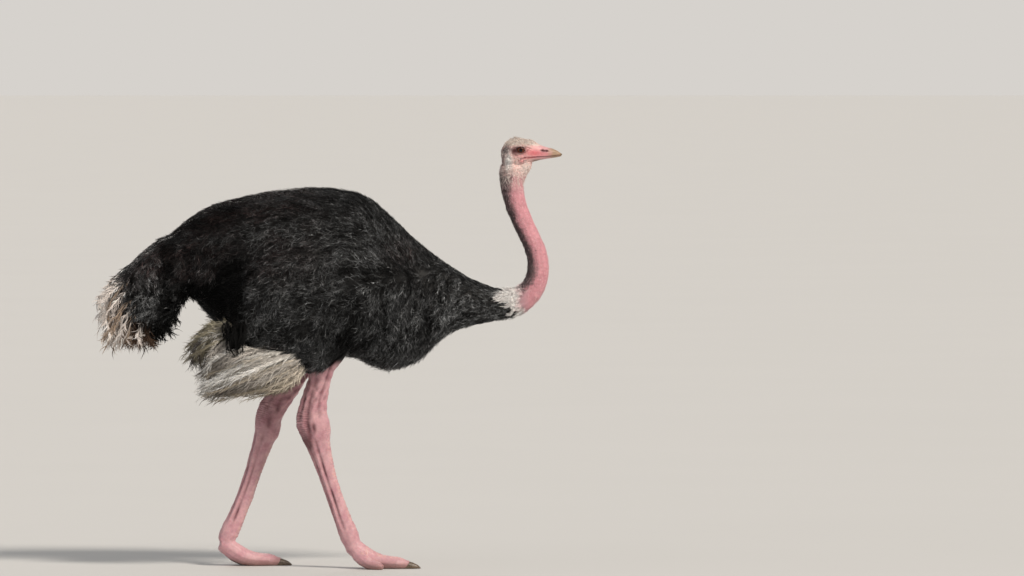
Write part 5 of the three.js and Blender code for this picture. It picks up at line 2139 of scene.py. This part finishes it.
@dataclass
class Scutes:
    """One leg's plates of horny skin, like roof tiles: down the front of the tarsus and along each toe."""

    surface: Surface
    name: str
    seed: int = 701
    pitch: float = 13.5 * MM
    wrap: float = math.radians(50)
    thick: float = 2.0 * MM
    shape: tuple[int, int] = (5, 9)  # rows and columns of points in one plate
    pale: str = "#d9b3a8"

    def build(self) -> Piece:
        """Makes the plates of one leg and foot."""
        rng = np.random.default_rng(self.seed)
        grids = self.down_the_front(rng)
        ahead = 0.0 if self.name == "right" else STRIDE
        sign = SIDES[self.name]
        grids += self.along_toe((138 + ahead, sign * 90), (272 + ahead, sign * 98), 15, 25.0, rng)
        grids += self.along_toe((124 + ahead, sign * 121), (192 + ahead, sign * 163), 8, 13.0, rng)
        piece = plates(f"shank_and_toe_scutes_{self.name}", grids, self.thick)
        points = points_of(piece)
        tone = Drift(61, 16 * MM)(points)
        # the legs' colours here carry their painted shade
        colour = mix(Markings().legs(points), self.pale, np.clip(0.20 + 0.15 * tone, 0, 1))
        paint(piece, MARKING, colour)
        paint(piece, GLOSS, np.full(len(points), 0.42))
        finish = SkinFinish("shank_scute_horn", pebble=1.6 * MM, depth=0.2 * MM)
        return dressed(piece, finish)

    def down_the_front(self, rng: Random) -> list[tuple[Array, Array]]:
        """Plates across the front of the tarsus, from under the ankle to the toes."""
        route = LEGS[self.name]
        top = route.at_height(ANKLE) - 0.075
        grids = []
        for centre in np.arange(0.045, top, self.pitch):
            small = 1 - 0.35 * ease(top - 0.08, top, centre)
            wrap = self.wrap * small * rng.uniform(0.85, 1.1)
            tilt = rng.normal(0, 0.06)
            grids.append(self.patch(route, centre, wrap, tilt))
        return grids

    def patch(self, route: Route, centre: float, wrap: float, tilt: float) -> tuple[Array, Array]:
        """Points on the skin for one plate round the front of the leg."""

        def aim(v: float, u: float) -> tuple[Array, Array, Array]:
            """The ray for one point, from ahead of the leg towards its middle line."""
            along = centre + self.pitch * (v - 0.18 * (1 - u * u)) + tilt * u * 15 * MM
            middle = np.array([np.interp(along, route.lengths, route.points[:, k]) for k in range(3)])
            tangent = np.array([np.interp(along, route.lengths, route.tangents[:, k]) for k in range(3)])
            front = np.array([tangent[2], 0.0, -tangent[0]])
            ray = front * math.cos(u * wrap) + LEFT * math.sin(u * wrap)
            return middle + ray * 0.09, -ray, middle + ray * 20 * MM

        return self.cast(aim, 0.62, -0.58)

    def cast(
        self, aim: Callable[[float, float], tuple[Array, Array, Array]], tucked: float, free: float
    ) -> tuple[Array, Array]:
        """Finds the points on the skin for one plate.

        Args:
            aim: gives, for a place along and across the plate, where a ray starts and which way it goes, and
                the point to use if it hits nothing.
            tucked: how far along the plate its tucked edge lies.
            free: how far along its free edge lies.
        Returns:
            The points, in rows, and the outward direction at each.
        """
        rows, columns = self.shape
        spots = np.zeros((rows, columns, 3))
        for i, v in enumerate(np.linspace(tucked, free, rows)):
            for j, u in enumerate(np.linspace(-1, 1, columns)):
                start, way, missed = aim(v, u)
                hit = self.surface.tree.ray_cast(Vector(start), Vector(way))[0]
                spots[i, j] = hit if hit is not None else missed
        spot, outward = self.surface.nearest(spots.reshape(-1, 3))
        return spot.reshape(spots.shape), outward.reshape(spots.shape)

    def along_toe(
        self, start: tuple[float, float], stop: tuple[float, float], count: int, width: float,
        rng: Random,
    ) -> list[tuple[Array, Array]]:
        """Plates across the top of one toe.

        Args:
            start: X and Y of the first plate, in millimetres.
            stop: X and Y of the last.
            count: how many.
            width: half of a plate's width, in millimetres.
            rng: where the small differences come from.
        Returns:
            Points on the skin for each plate, and the outward direction there.
        """
        first, last = np.array(start), np.array(stop)
        axis = (last - first) / np.linalg.norm(last - first)
        across = np.array([-axis[1], axis[0]])
        pitch = np.linalg.norm(last - first) / count
        grids = []
        for k in range(count):
            middle = first + axis * pitch * (k + 0.5)
            wide = width * (1 - 0.28 * k / count) * rng.uniform(0.92, 1.06)

            def aim(v: float, u: float) -> tuple[Array, Array, Array]:
                """The ray for one point, straight down on to the toe."""
                x, y = (middle + axis * pitch * (v + 0.18 * (1 - u * u)) + across * u * wide) * MM
                return np.array([x, y, 0.085]), DOWN, np.array([x, y, 0.02])

            grids.append(self.cast(aim, -0.62, 0.58))
        return grids


@dataclass
class Claws:
    """The blunt claw of each big toe, with growth lines and a worn tip."""

    rear: tuple[float, float, float] = (266 * MM, 97.5 * MM, 1.2 * MM)  # inside the end of the right toe
    size: tuple[float, float, float] = (70 * MM, 15 * MM, 29 * MM)  # length, half width and height
    line: float = 4.2 * MM

    def build(self) -> list[Piece]:
        """Makes both claws."""
        return [self.claw(name, sign) for name, sign in SIDES.items()]

    def claw(self, name: str, sign: float) -> Piece:
        """One claw: a ball drawn out into a horn that is flat below and narrows to its tip."""
        bpy.ops.mesh.primitive_uv_sphere_add(segments=72, ring_count=64)
        claw = bpy.context.object
        claw.name = claw.data.name = f"worn_claw_{name}"
        ball = points_of(claw)
        share = (1 + ball[:, 2]) / 2
        across, up = ball[:, :2].T[::-1] / np.maximum(np.hypot(ball[:, 0], ball[:, 1]), 1e-6)
        root = np.sqrt(np.minimum(share / 0.1, 1))
        length, half, height = self.size
        rings = 1 - 0.03 * np.sin(share * length / self.line * TURN) * ease(0.9, 0.6, share)
        points = np.column_stack([
            share * length,
            -across * half * (1 - share**2.6) ** 0.55 * root * rings,
            np.clip((up + 0.4) / 1.4, 0, 1) * height * (1 - share**1.7) ** 0.62 * root * rings,
        ])
        shift = STRIDE * MM if name == "left" else 0.0
        points += np.array([self.rear[0] + shift, sign * self.rear[1], self.rear[2]])
        place(claw, points)
        points = points + normals_of(claw) * (Drift(63, 9 * MM)(points) * 0.35 * MM * share)[:, None]
        points[:, 2] = np.maximum(points[:, 2], self.rear[2])
        place(claw, points)
        alone(claw)
        bpy.ops.object.shade_smooth()
        return dressed(claw, HornFinish(), [f"claw_{name}"])


# ------------------------------------------------------------------ build
def main() -> None:
    """Builds the bird and its studio in order."""
    logging.basicConfig(level=logging.INFO, format="%(message)s")
    Studio().build()
    eyes = Eyes()
    eyes.build()
    skin_maker = Skin(eyes)
    envelope = skin_maker.envelope()
    skin = skin_maker.build(envelope)
    surface = Surface(envelope)
    bpy.data.objects.remove(envelope)
    BodyCoat(surface).build()
    TailCoat().build()
    WingPlumes().build()
    fore = Surface(skin, lambda p: p[:, 0] > 0.55)
    CollarDown(fore).build()
    NeckDown(fore).build()
    HeadBristles(fore, eyes).build()
    for name, sign in SIDES.items():
        leg = Surface(skin, lambda p: (p[:, 2] < 0.62) & (p[:, 1] * sign > 0))
        Scutes(leg, name).build()
    Claws().build()


if __name__ == "__main__":
    main()
